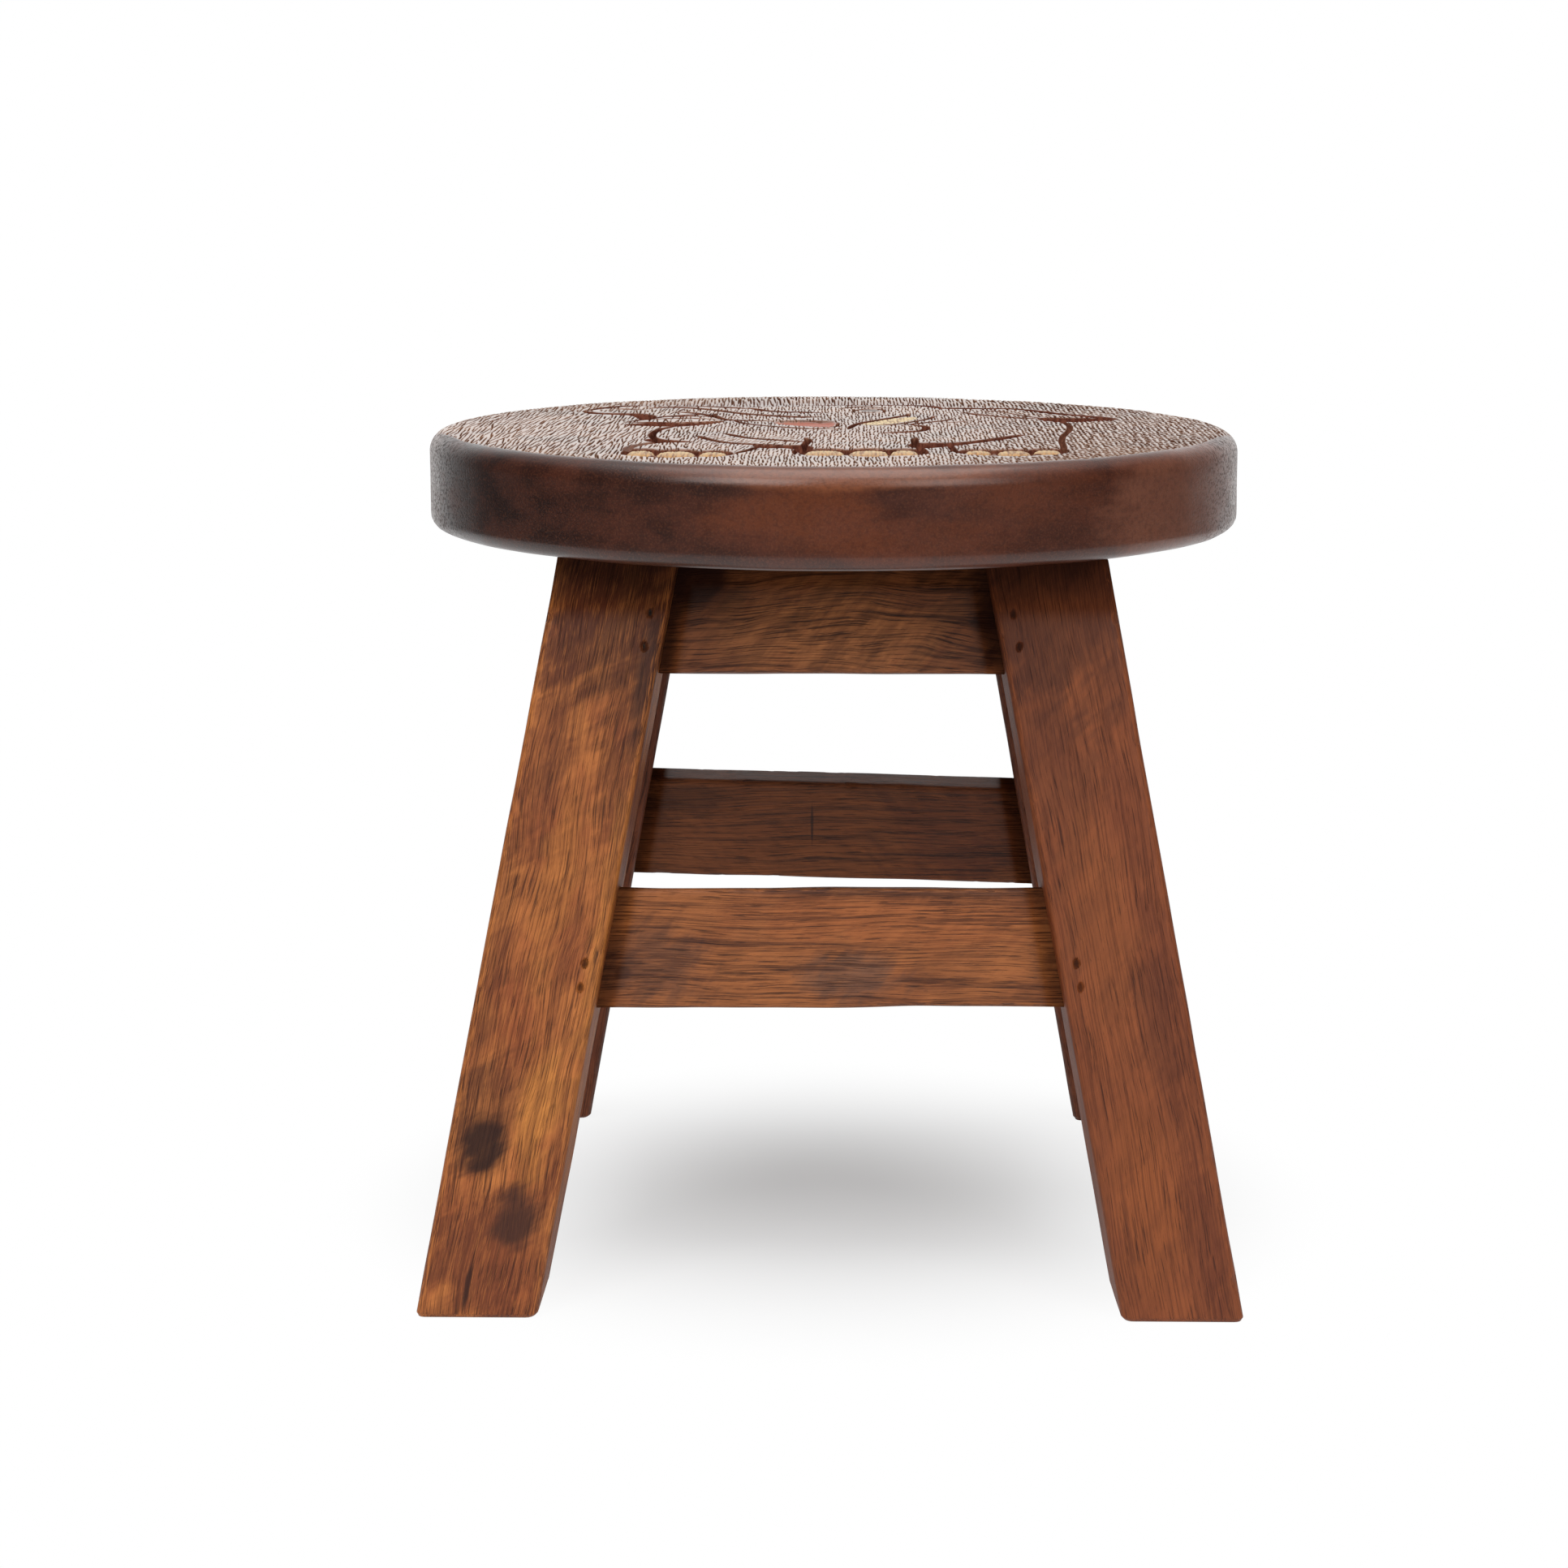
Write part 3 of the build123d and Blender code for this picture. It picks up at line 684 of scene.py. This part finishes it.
class Nodes:
    """A material's or the world's node tree, built one call at a time."""

    def __init__(self, tree):
        self.tree = tree
        tree.nodes.clear()

    def add(self, kind, inputs=None, **settings):
        node = self.tree.nodes.new("ShaderNode" + kind)
        for key, value in settings.items():
            setattr(node, key, value)
        for key, value in (inputs or {}).items():
            if isinstance(value, bpy.types.NodeSocket):
                self.tree.links.new(value, node.inputs[key])
            else:
                node.inputs[key].default_value = value
        return node

    def math(self, operation, a, b=0.0):
        return self.add("Math", {0: a, 1: b}, operation=operation).outputs[0]

    def times(self, a, b):
        return self.math("MULTIPLY", a, b)

    def most(self, a, b):
        return self.math("MAXIMUM", a, b)

    def vector(self, operation, a, b=(0, 0, 0)):
        return self.add("VectorMath", {0: a, 1: b}, operation=operation).outputs

    def spread(self, value, low, high, start=0.0, end=1.0):
        """Maps low..high smoothly to start..end."""
        node = self.add("MapRange", {"Value": value, "From Min": low, "From Max": high,
                                     "To Min": start, "To Max": end}, interpolation_type="SMOOTHSTEP")
        return node.outputs[0]

    def noise(self, vector, scale, detail=3, rough=0.6, warp=0.0):
        node = self.add("TexNoise", {"Vector": vector, "Scale": scale, "Detail": detail,
                                     "Roughness": rough, "Distortion": warp})
        return node.outputs["Fac"]

    def grain(self, vector, scale, detail=3, rough=0.6, warp=0.0, turn=(0, 0, 0)):
        """Noise in coordinates that are turned, then scaled along the turned axes."""
        inputs = {"Vector": vector, "Scale": [1 / value for value in scale], "Rotation": turn}
        placed = self.add("Mapping", inputs, vector_type="TEXTURE").outputs[0]
        return self.noise(placed, 1, detail, rough, warp)

    def mix(self, factor, a, b):
        """A colour between two others, which are sockets or screen colours."""
        return self.add("Mix", {0: factor, 6: linear(a), 7: linear(b)}, data_type="RGBA").outputs[2]

    def tint(self, colour, mask, strength, other):
        """A colour with another one laid over it, as strongly as a mask times a strength."""
        return self.mix(self.times(mask, strength), colour, other)

    def layers(self, colour, rows):
        """Lays colours over one where values pass low..high, as (value, low, high, strength, colour)."""
        for value, low, high, strength, other in rows:
            colour = self.tint(colour, self.spread(value, low, high), strength, other)
        return colour

    def mask(self, name):
        return self.add("Attribute", attribute_name=name, attribute_type="GEOMETRY").outputs["Fac"]

    def add_marks(self, place, colour, marks, noise, ragged):
        """Ragged soft ellipsoids of colour, given as (colour, strength, centre, radii)."""
        frayed = self.times(self.math("SUBTRACT", noise, 0.5), ragged)
        for other, strength, centre, radii in marks:
            scaled = self.vector("DIVIDE", self.vector("SUBTRACT", place, centre)[0], radii)[0]
            distance = self.math("ADD", self.vector("LENGTH", scaled)["Value"], frayed)
            colour = self.tint(colour, self.spread(distance, 1.15, 0.45), strength, other)
        return colour

    def bump(self, height, strength, distance):
        return self.add("Bump", {"Height": height, "Strength": strength, "Distance": distance}).outputs[0]

    def dull(self, colour, rough=0.85, **inputs):
        """A shader of bare wood, without any gloss."""
        return self.add("BsdfPrincipled", {"Base Color": colour, "Roughness": rough,
                                           "Specular IOR Level": 0.0, **inputs})

    def blend(self, factor, first, second):
        """A shader between two others."""
        return self.add("MixShader", {0: factor, 1: first.outputs[0], 2: second.outputs[0]})

    def finish(self, shader, kind="Material"):
        self.add("Output" + kind, {"Surface": shader.outputs[0]})


def new_material(name):
    material = bpy.data.materials.new(name)
    material.use_nodes = True
    return material, Nodes(material.node_tree)


def local_coordinates(nodes, matrix):
    """Coordinates in mm along the axes of a piece, whose frame in the stool is a matrix in mm."""
    place = nodes.add("TexCoord").outputs["Object"]
    centre = [value * MM for value in matrix.to_translation()]
    mapping = nodes.add("Mapping", {"Vector": place, "Location": centre,
                                    "Rotation": matrix.to_euler("XYZ"), "Scale": (MM, MM, MM)},
                        vector_type="TEXTURE")
    return mapping.outputs[0]


def timber_material(name, matrix, tones, seed, streaks=1.0, pores=1.0, figure=1.0, tints=(), knots=()):
    """Stained and oiled wood with its grain along the local z axis.

    tones are the dark, middle and light screen colours. tints lie under the grain and knots over
    it, as (colour, strength, centre, radii)."""
    material, n = new_material(name)
    dark, middle, light = tones
    place = local_coordinates(n, matrix)
    # Each piece is cut from another part of the same noise
    drift = n.vector("ADD", place, (seed * 37.0, seed * 11.0, seed * 53.0))[0]
    bend = n.grain(drift, (0.03, 0.03, 0.014), 2, 0.5)
    bent = n.vector("ADD", n.add("CombineXYZ", {0: n.times(bend, 10.0 * figure)}).outputs[0], drift)[0]
    patch = n.grain(drift, (0.045, 0.045, 0.022))
    glow = n.grain(drift, (0.05, 0.1, 0.15), 3, 0.6, 0.3, turn=(0, 0.75, 0))
    ripple = n.grain(drift, (0.07, 0.3, 0.34), turn=(0, 0.85, 0))
    streak = n.grain(bent, (0.5, 0.5, 0.012), 4, 0.6)
    fibre = n.grain(bent, (2.2, 2.2, 0.025))
    hair = n.grain(bent, (3.6, 3.6, 0.16), 2, 0.5)
    dash = n.grain(bent, (2.8, 2.8, 0.08), 3, 0.5)
    pore = n.grain(bent, (3.2, 3.2, 0.4), 2, 0.5)
    colour = n.mix(n.spread(patch, 0.36, 0.64), middle, light)
    colour = n.add_marks(place, colour, tints, glow, 1.8)
    colour = n.layers(colour, (
        (glow, 0.6, 0.38, 0.28 * figure, dark),
        (ripple, 0.58, 0.4, 0.14 * figure, dark),
        (streak, 0.52, 0.34, 0.7 * streaks, dark),
        (fibre, 0.54, 0.36, 0.5, dark),
        (hair, 0.52, 0.66, 0.32, light),
    ))
    dashes = n.times(n.spread(dash, 0.67 - 0.1 * pores, 0.73 - 0.1 * pores), 0.9)
    pits = n.times(n.spread(pore, 0.7 - 0.06 * pores, 0.78 - 0.06 * pores), 0.45)
    pore_mask = n.most(dashes, pits)
    colour = n.tint(colour, pore_mask, 0.75, darker(dark, 0.4))
    colour = n.add_marks(place, colour, knots, glow, 1.1)
    bare = n.times(n.mask("arris"), n.spread(hair, 0.45, 0.6))
    colour = n.tint(colour, bare, 0.6, light)
    # Darkened and dulled by the mask: the stains round the brads, and painted shade under the seat, at the
    # rails' ends and on the legs' inner faces.
    stain_and_shade_share = n.times(n.mask("stain_and_shade"), n.spread(glow, 0.2, 0.6, 1.0, 0.7))
    colour = n.mix(stain_and_shade_share, colour, (40, 25, 22))
    rough = n.spread(fibre, 0.3, 0.7, 0.42, 0.56)
    height = n.math("SUBTRACT", n.times(fibre, 0.6), pore_mask)
    normal = n.bump(height, 0.5, 0.00022)
    oiled = n.add("BsdfPrincipled", {"Base Color": colour, "Roughness": rough, "Normal": normal,
                                     "Specular IOR Level": 0.3})
    dull_stain_and_shade = n.dull(colour, 0.9, Normal=normal)
    n.finish(n.blend(n.spread(n.mask("stain_and_shade"), 0.0, 0.35), oiled, dull_stain_and_shade))
    return material


# Stains on the seat's side, with a painted highlight along the front of its top arris and lighter wood with
# painted sheen towards its right end, as (colour, strength, centre, radii)
SEAT_MARKS = (
    ((34, 19, 17), 0.85, (-112, -60, 236), (36, 64, 34)),
    ((36, 19, 16), 0.65, (-84, -96, 231), (20, 34, 13)),
    ((38, 20, 16), 0.5, (-60, -112, 247), (22, 18, 8)),
    ((38, 20, 16), 0.6, (-34, -124, 247), (18, 16, 5)),
    ((38, 20, 15), 0.5, (-44, -118, 228), (34, 16, 7)),
    ((110, 54, 26), 0.7, (-8, -126, 238), (32, 18, 12)),
    ((100, 48, 25), 0.6, (28, -126, 233), (44, 18, 11)),
    ((50, 27, 20), 0.25, (72, -104, 230), (24, 28, 8)),
    ((100, 50, 28), 0.75, (48, -114, 245), (44, 24, 12)),
    # Lighter wood with painted sheen towards the right end
    ((122, 74, 55), 0.85, (106, -70, 238), (40, 46, 26)),
    # Painted highlight along the front of the top arris
    ((150, 88, 56), 0.5, (2, -126, 250), (60, 20, 4)),
)


def seat_side(n, place, cloud, mottle, speck):
    """Colour, nicks and bump of the polished side. The nicks are towards its two ends, where the side is also
    paled with painted sheen.
    """
    grain = n.noise(place, 1.7)
    side = n.mix(n.spread(cloud, 0.35, 0.65), (54, 25, 17), (72, 34, 21))
    stain = n.grain(place, (0.022, 0.03, 0.07))
    side = n.add_marks(place, side, SEAT_MARKS, stain, 2.2)
    out = n.math("ABSOLUTE", n.add("SeparateXYZ", {0: place}).outputs["X"])
    side = n.layers(side, (
        (mottle, 0.42, 0.62, 0.3, (98, 46, 26)),
        (speck, 0.42, 0.66, 0.3, (32, 17, 14)),
        (grain, 0.45, 0.7, 0.25, (124, 72, 46)),
        # Painted sheen, pale towards the left and right ends, over the wood's paler end grain
        (out, 117, 127, 0.6, (150, 124, 112)),
    ))
    nick = n.grain(place, (0.5, 1.1, 1.1), 3, 0.5)
    nicks = n.times(n.spread(nick, 0.5, 0.58), n.spread(out, 104, 123))
    side = n.tint(side, nicks, 0.6, (34, 20, 16))
    return side, nicks, n.math("SUBTRACT", n.times(grain, 0.3), nicks)


def seat_top(n, place, mottle, speck):
    """Colour of the carved top, and how matt it is."""
    worn = n.noise(place, 0.045)
    smudge = n.grain(place, (0.05, 0.09, 0.1), 3, 0.6, 0.5)
    right = n.add("SeparateXYZ", {0: place}).outputs["X"]
    # The flats' colour is the top's wood, lighter than the side's, in part as painted sheen.
    flat = n.mix(n.spread(mottle, 0.35, 0.65), (150, 104, 78), (182, 136, 106))
    flat = n.layers(flat, (
        (worn, 0.48, 0.64, 0.6, (112, 88, 74)),
        (smudge, 0.54, 0.68, 0.35, (140, 84, 64)),
        (right, 20, 90, 0.25, (118, 86, 70)),
        (speck, 0.45, 0.7, 0.3, (126, 78, 58)),
    ))
    # Painted shade on the ground behind the head and beside the grooves
    flat = n.tint(flat, n.mask("shade"), 0.75, (104, 58, 42))
    streak = n.grain(place, (1.1, 0.12, 0.5), 3, 0.5)
    horn = n.mix(n.mask("horn"), (194, 142, 86), (238, 214, 164))
    horn = n.tint(horn, n.spread(streak, 0.48, 0.64), 0.75, (134, 80, 42))
    ivory, pupil, blush = n.mask("ivory"), n.mask("pupil"), n.mask("blush")
    flat = n.mix(ivory, flat, horn)
    flat = n.tint(flat, blush, 0.95, (180, 104, 86))
    flat = n.tint(flat, pupil, 0.85, (112, 104, 100))
    groove, stroke = n.mask("groove"), n.mask("stroke")
    tooled = n.grain(place, (0.9, 0.25, 0.3))
    floor = n.mix(n.spread(tooled, 0.38, 0.64), (72, 37, 29), (106, 62, 48))
    cut = n.tint(flat, groove, 0.97, floor)
    # The strokes' dark colour is the stain in the cuts, with painted shade of their bottoms.
    cut = n.tint(cut, stroke, 0.97, (46, 27, 22))
    painted = n.times(n.most(n.most(ivory, pupil), blush), 0.7)
    matt = n.most(n.spread(n.most(stroke, groove), 0.1, 0.6), painted)
    return cut, matt


def seat_material():
    """The seat's dark stained wood: a polished side, and a carved top varnished on its flats only."""
    material, n = new_material("seat_wood")
    place = n.vector("MULTIPLY", n.add("TexCoord").outputs["Object"], (1 / MM,) * 3)[0]
    cloud = n.noise(place, 0.018, 3, 0.55)
    mottle = n.grain(place, (0.06, 0.06, 0.12), 4, 0.6)
    speck = n.noise(place, 0.7, 4, 0.65)
    side, nicks, uneven = seat_side(n, place, cloud, mottle, speck)
    cut, matt = seat_top(n, place, mottle, speck)
    wave = n.grain(place, (1.4, 1.4, 0.35))
    polish = n.add("BsdfPrincipled", {
        "Base Color": side, "Roughness": n.spread(mottle, 0.3, 0.7, 0.28, 0.4),
        "Normal": n.bump(uneven, 0.8, 0.0004), "Specular IOR Level": 0.32,
        "Coat Weight": 0.5, "Coat Roughness": 0.24})
    rim = n.blend(n.times(nicks, 0.65), polish, n.dull(side))
    varnish = n.add("BsdfPrincipled", {
        "Base Color": cut, "Roughness": n.spread(speck, 0.3, 0.7, 0.28, 0.42),
        "Normal": n.bump(wave, 0.35, 0.0002), "IOR": 1.5, "Coat Weight": 1.0, "Coat Roughness": 0.22,
        "Sheen Weight": 0.3, "Sheen Roughness": 0.4, "Sheen Tint": (1, 0.87, 0.76, 1)})
    n.finish(n.blend(n.mask("top"), rim, n.blend(matt, varnish, n.dull(cut))))
    return material


def steel_material(name, tint, rust):
    """Dull wire steel with spots of rust."""
    material, n = new_material(name)
    place = n.add("TexCoord").outputs["Object"]
    grain = n.noise(place, 900.0, 4, 0.6)
    spots = n.spread(n.noise(place, 1700.0), 0.45, 0.6)
    colour = n.mix(n.spread(grain, 0.35, 0.65), tint, darker(tint, 0.6))
    colour = n.tint(colour, spots, 0.6, rust)
    rough = n.spread(spots, 0, 1, 0.4, 0.75)
    n.finish(n.add("BsdfPrincipled", {"Base Color": colour, "Roughness": rough, "Metallic": 0.85,
                                      "Normal": n.bump(grain, 0.3, 0.0001)}))
    return material


# ------ the stool

def frame_matrix(x, y, z, origin):
    """A 4 by 4 matrix from three axes and an origin."""
    return Matrix(np.vstack([np.stack([x, y, z, origin], axis=1), [0, 0, 0, 1]]).tolist())


def leg_matrix(mirror):
    """A right-handed frame for a leg's grain: to the left as seen from outside, outwards and up it."""
    sideways, forwards, along = (axis * mirror for axis in leg_axes())
    across = np.cross(forwards, along)
    origin = on_frame(-(inner_edge(0) + LEG_WIDTH_IN_FRAME / 2), 0, 0) * mirror
    return frame_matrix(across, forwards, along, origin)


def rail_matrix(side):
    """A right-handed frame for a rail's grain: up the frame, inwards and to the left seen from outside."""
    turn = Matrix.Rotation(math.radians(SIDES[side]), 4, "Z")
    origin = on_frame(0, 0, RAIL_SETBACK)
    return turn @ frame_matrix(UP, -OUT, -ACROSS, origin)


# Timbers' screen colours as (dark, middle, light), and those of their marks
ORANGE = ((78, 36, 22), (156, 84, 45), (200, 122, 62))
RED = ((72, 34, 22), (124, 64, 36), (146, 79, 43))
# A darker copy of the leg tones for the back legs: painted shade
SHADED = ((60, 30, 21), (118, 65, 44), (140, 80, 53))
RAIL = ((62, 31, 20), (142, 82, 47), (170, 102, 56))
# A darker copy of the rail tones for the aprons and the back stretcher, under the seat: painted shade
SHADED_RAIL = ((46, 22, 15), (124, 70, 40), (150, 88, 50))
GOLD = (214, 138, 64)
KNOT = (42, 20, 15)
# Dark smudges on the legs, and painted shade at their tops under the seat
SOOT_AND_SHADE = (60, 34, 26)
ASH = (104, 78, 66)

# The legs' woods, with marks at (left of the middle, out of the face, up the leg)
LEG_LOOKS = {
    "leg_front_left": dict(tones=ORANGE, streaks=0.7, figure=0.9, tints=(
        # Painted shade at the top of the leg, under the seat
        (SOOT_AND_SHADE, 0.7, (0, 0, 216), (30, 30, 36)),
        (RED[0], 0.4, (-12, 0, 180), (9, 20, 40)),
        (RED[1], 0.6, (10, 0, 165), (9, 20, 40)),
        (RED[0], 0.3, (14, 0, 90), (5, 20, 60)),
        (GOLD, 0.6, (-17.5, 0, 120), (5, 8, 56)),
        (GOLD, 0.8, (-7, 0, 62), (7, 6, 26)),
        (GOLD, 0.35, (0, 0, 130), (7, 6, 34)),
        (SOOT_AND_SHADE, 0.45, (9, 0, 60), (12, 6, 20)),
        (RED[1], 0.8, (0, 0, 18), (22, 20, 26)),
    ), knots=(
        (SOOT_AND_SHADE, 0.7, (-15, 0, 196), (4, 8, 24)),
        (KNOT, 0.9, (6.5, 0, 50.5), (8, 8, 11.5)),
        (SOOT_AND_SHADE, 0.8, (-6.5, 0, 31), (8, 6, 11)),
        (KNOT, 0.8, (4, 0, 9), (1.0, 3, 8)),
    )),
    "leg_front_right": dict(tones=RED, streaks=0.25, pores=0.6, figure=0.6, tints=(
        # Painted shade at the top of the leg, under the seat
        (SOOT_AND_SHADE, 0.5, (0, 0, 218), (40, 30, 40)),
        (SOOT_AND_SHADE, 0.25, (8, 0, 172), (14, 20, 38)),
        ((146, 82, 42), 0.5, (4, 0, 120), (12, 12, 40)),
        (RED[0], 0.35, (-8, 0, 88), (8, 12, 24)),
        ((154, 84, 40), 0.5, (4, 0, 34), (14, 12, 34)),
        ((96, 44, 28), 0.4, (-10, 0, 26), (6, 12, 30)),
    )),
    # The back legs take the darker tones as painted shade
    "leg_back_left": dict(tones=SHADED, streaks=0.5, figure=0.8),
    "leg_back_right": dict(tones=SHADED, streaks=0.7, pores=0.8, figure=1.2),
}
# The rails' woods, with marks at (up the frame, in from the face, left of the middle)
RAIL_LOOKS = {
    "apron_front": dict(tones=SHADED_RAIL, figure=1.6, tints=(
        ((190, 118, 68), 0.95, (203, 0, 0), (18, 6, 42)),
    ), knots=(
        (KNOT, 0.85, (219, 0, 41), (8, 8, 14)),
        (KNOT, 0.7, (209, 0, -48), (16, 8, 8)),
        (KNOT, 0.6, (204, 0, 50), (16, 8, 5)),
    )),
    "stretcher_front": dict(tones=RAIL, figure=0.6, tints=(
        ((176, 98, 52), 0.5, (118, 0, -20), (10, 6, 60)),
        (ASH, 0.65, (101, 0, -6), (9, 6, 18)),
        ((84, 58, 48), 0.6, (104, 0, 52), (15, 6, 18)),
    ), knots=(
        (KNOT, 0.6, (127, 0, -30), (3, 8, 60)),
        (KNOT, 0.5, (102, 0, 62), (2, 8, 3)),
    )),
    "stretcher_back": dict(tones=SHADED_RAIL, figure=0.6, tints=(
        ((160, 94, 56), 0.5, (110, 12, -20), (20, 8, 60)),
        ((96, 42, 29), 0.45, (110, 12, 45), (24, 5, 34)),
    ), knots=(
        (KNOT, 0.8, (113.6, 12, -7), (9, 3, 0.5)),
        (KNOT, 0.5, (124, 12, -50), (7, 5, 18)),
    )),
}

seat = build_seat()
seat.data.materials.append(seat_material())
for index, (name, mirror) in enumerate(LEGS.items()):
    leg = build_leg(name, mirror, 10 + 7 * index)
    wood = timber_material(name + "_wood", leg_matrix(mirror), seed=index + 1, **LEG_LOOKS[name])
    leg.data.materials.append(wood)
for index, side in enumerate(SIDES):
    lift = STRETCHER_LIFT.get(side, 0.0)
    # The aprons take the darker rail tones as painted shade under the seat
    rails = {"apron": (APRON_BOTTOM, FRAME_TOP + 2.5, 0.0, SHADED_RAIL),
             "stretcher": (STRETCHER_BOTTOM + lift, STRETCHER_TOP + lift, STRETCHER_SKEW[side], RAIL)}
    for kind, (low, high, skew, tones) in rails.items():
        name, seed = f"{kind}_{side}", 60 + 7 * index + 30 * (kind == "stretcher")
        look = RAIL_LOOKS.get(name, dict(tones=tones))
        rail = build_rail(name, side, low, high, skew, seed)
        rail.data.materials.append(timber_material(name + "_wood", rail_matrix(side), seed=seed, **look))

# The brads' steel is painted darker, as the shade of the holes they sit deep in.
brad_steel = steel_material("brad_steel", (56, 46, 40), (44, 26, 19))
screw_steel = steel_material("screw_steel", (176, 170, 156), (110, 80, 52))
for name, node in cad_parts.items():
    if name.startswith("brads_") or name == "seat_screws":
        node.data.materials.clear()
        node.data.materials.append(screw_steel if name == "seat_screws" else brad_steel)


# ------ camera, light and floor

# The camera that was fitted to the photograph, in metres and radians
CAMERA_LENS = 80.9
CAMERA_SENSOR = 36.0
CAMERA_PLACE = (0.002865, -1.11655, 0.35344)
CAMERA_YAW, CAMERA_PITCH, CAMERA_ROLL = -0.01639, 0.1907, -0.0009


def add_camera():
    """The camera at the photograph's viewing angle."""
    data = bpy.data.cameras.new("camera")
    data.lens, data.sensor_width = CAMERA_LENS, CAMERA_SENSOR
    data.clip_start, data.clip_end = 0.01, 50
    camera = add_object("camera", data)
    turn = (Matrix.Rotation(-CAMERA_YAW, 4, "Z") @ Matrix.Rotation(math.pi / 2 - CAMERA_PITCH, 4, "X")
            @ Matrix.Rotation(-CAMERA_ROLL, 4, "Z"))
    camera.matrix_world = Matrix.Translation(CAMERA_PLACE) @ turn
    bpy.context.scene.camera = camera


def add_softbox(name, place, aim, size, power):
    """A large square lamp at a place, turned to a point."""
    data = bpy.data.lights.new(name, "AREA")
    data.shape, data.size, data.energy = "SQUARE", size, power
    lamp = add_object(name, data)
    lamp.location = place
    lamp.rotation_euler = (Vector(aim) - Vector(place)).to_track_quat("-Z", "Y").to_euler()


def white_rays(n):
    """1 for the rays that see the backdrop: camera, glossy and transmission rays."""
    path = n.add("LightPath")
    seen = n.most(path.outputs["Is Camera Ray"], path.outputs["Is Glossy Ray"])
    return n.most(seen, path.outputs["Is Transmission Ray"]), path


def add_world():
    """A white backdrop that the camera and the gloss see, dimmer in the room in front, and a plain light."""
    world = bpy.data.worlds.new("studio")
    bpy.context.scene.world = world
    world.use_nodes = True
    n = Nodes(world.node_tree)
    seen, path = white_rays(n)
    split = n.add("SeparateXYZ", {0: n.add("TexCoord").outputs["Generated"]})
    room = n.spread(split.outputs["Y"], 0.5, 0.97, 0.05, 1.0)
    above = n.spread(split.outputs["Z"], 0.5, 0.95)
    level = n.most(n.most(room, above), path.outputs["Is Camera Ray"])
    ambient, white = (n.add("Background", {"Color": (1, 1, 1, 1), "Strength": s}) for s in (0.3, level))
    n.finish(n.blend(seen, ambient, white), "World")


def add_floor():
    """A round pale floor that fades into the backdrop and keeps the stool's shadow."""
    count, radius = 96, 0.9
    angles = np.linspace(0, 2 * math.pi, count, endpoint=False)
    points = [(radius * math.cos(a), radius * math.sin(a), -0.0002) for a in angles]
    mesh = bpy.data.meshes.new("floor")
    mesh.from_pydata(points, [], [list(range(count))])
    floor = add_object("floor", mesh)
    material, n = new_material("floor")
    place = n.add("TexCoord").outputs["Object"]
    distance = n.vector("LENGTH", place)["Value"]
    seen, _ = white_rays(n)
    fade = n.times(n.spread(distance, 0.01, 0.17, 0.37, 1.0), seen)
    paint = n.add("BsdfDiffuse", {"Color": (0.79, 0.8, 0.805, 1)})
    white = n.add("Emission", {"Color": (1, 1, 1, 1), "Strength": 1.0})
    n.finish(n.blend(fade, paint, white))
    mesh.materials.append(material)


add_camera()
add_world()
add_floor()
add_softbox("softbox_top", (0.0, -0.2, 1.75), (0, 0, 0.1), 1.5, 15)
add_softbox("softbox_front_left", (-0.9, -1.8, 1.6), (0, 0, 0.12), 1.2, 20)
add_softbox("softbox_front_right", (1.1, -1.8, 1.3), (0, 0, 0.12), 1.2, 13)
bpy.context.scene.view_settings.view_transform = "Standard"
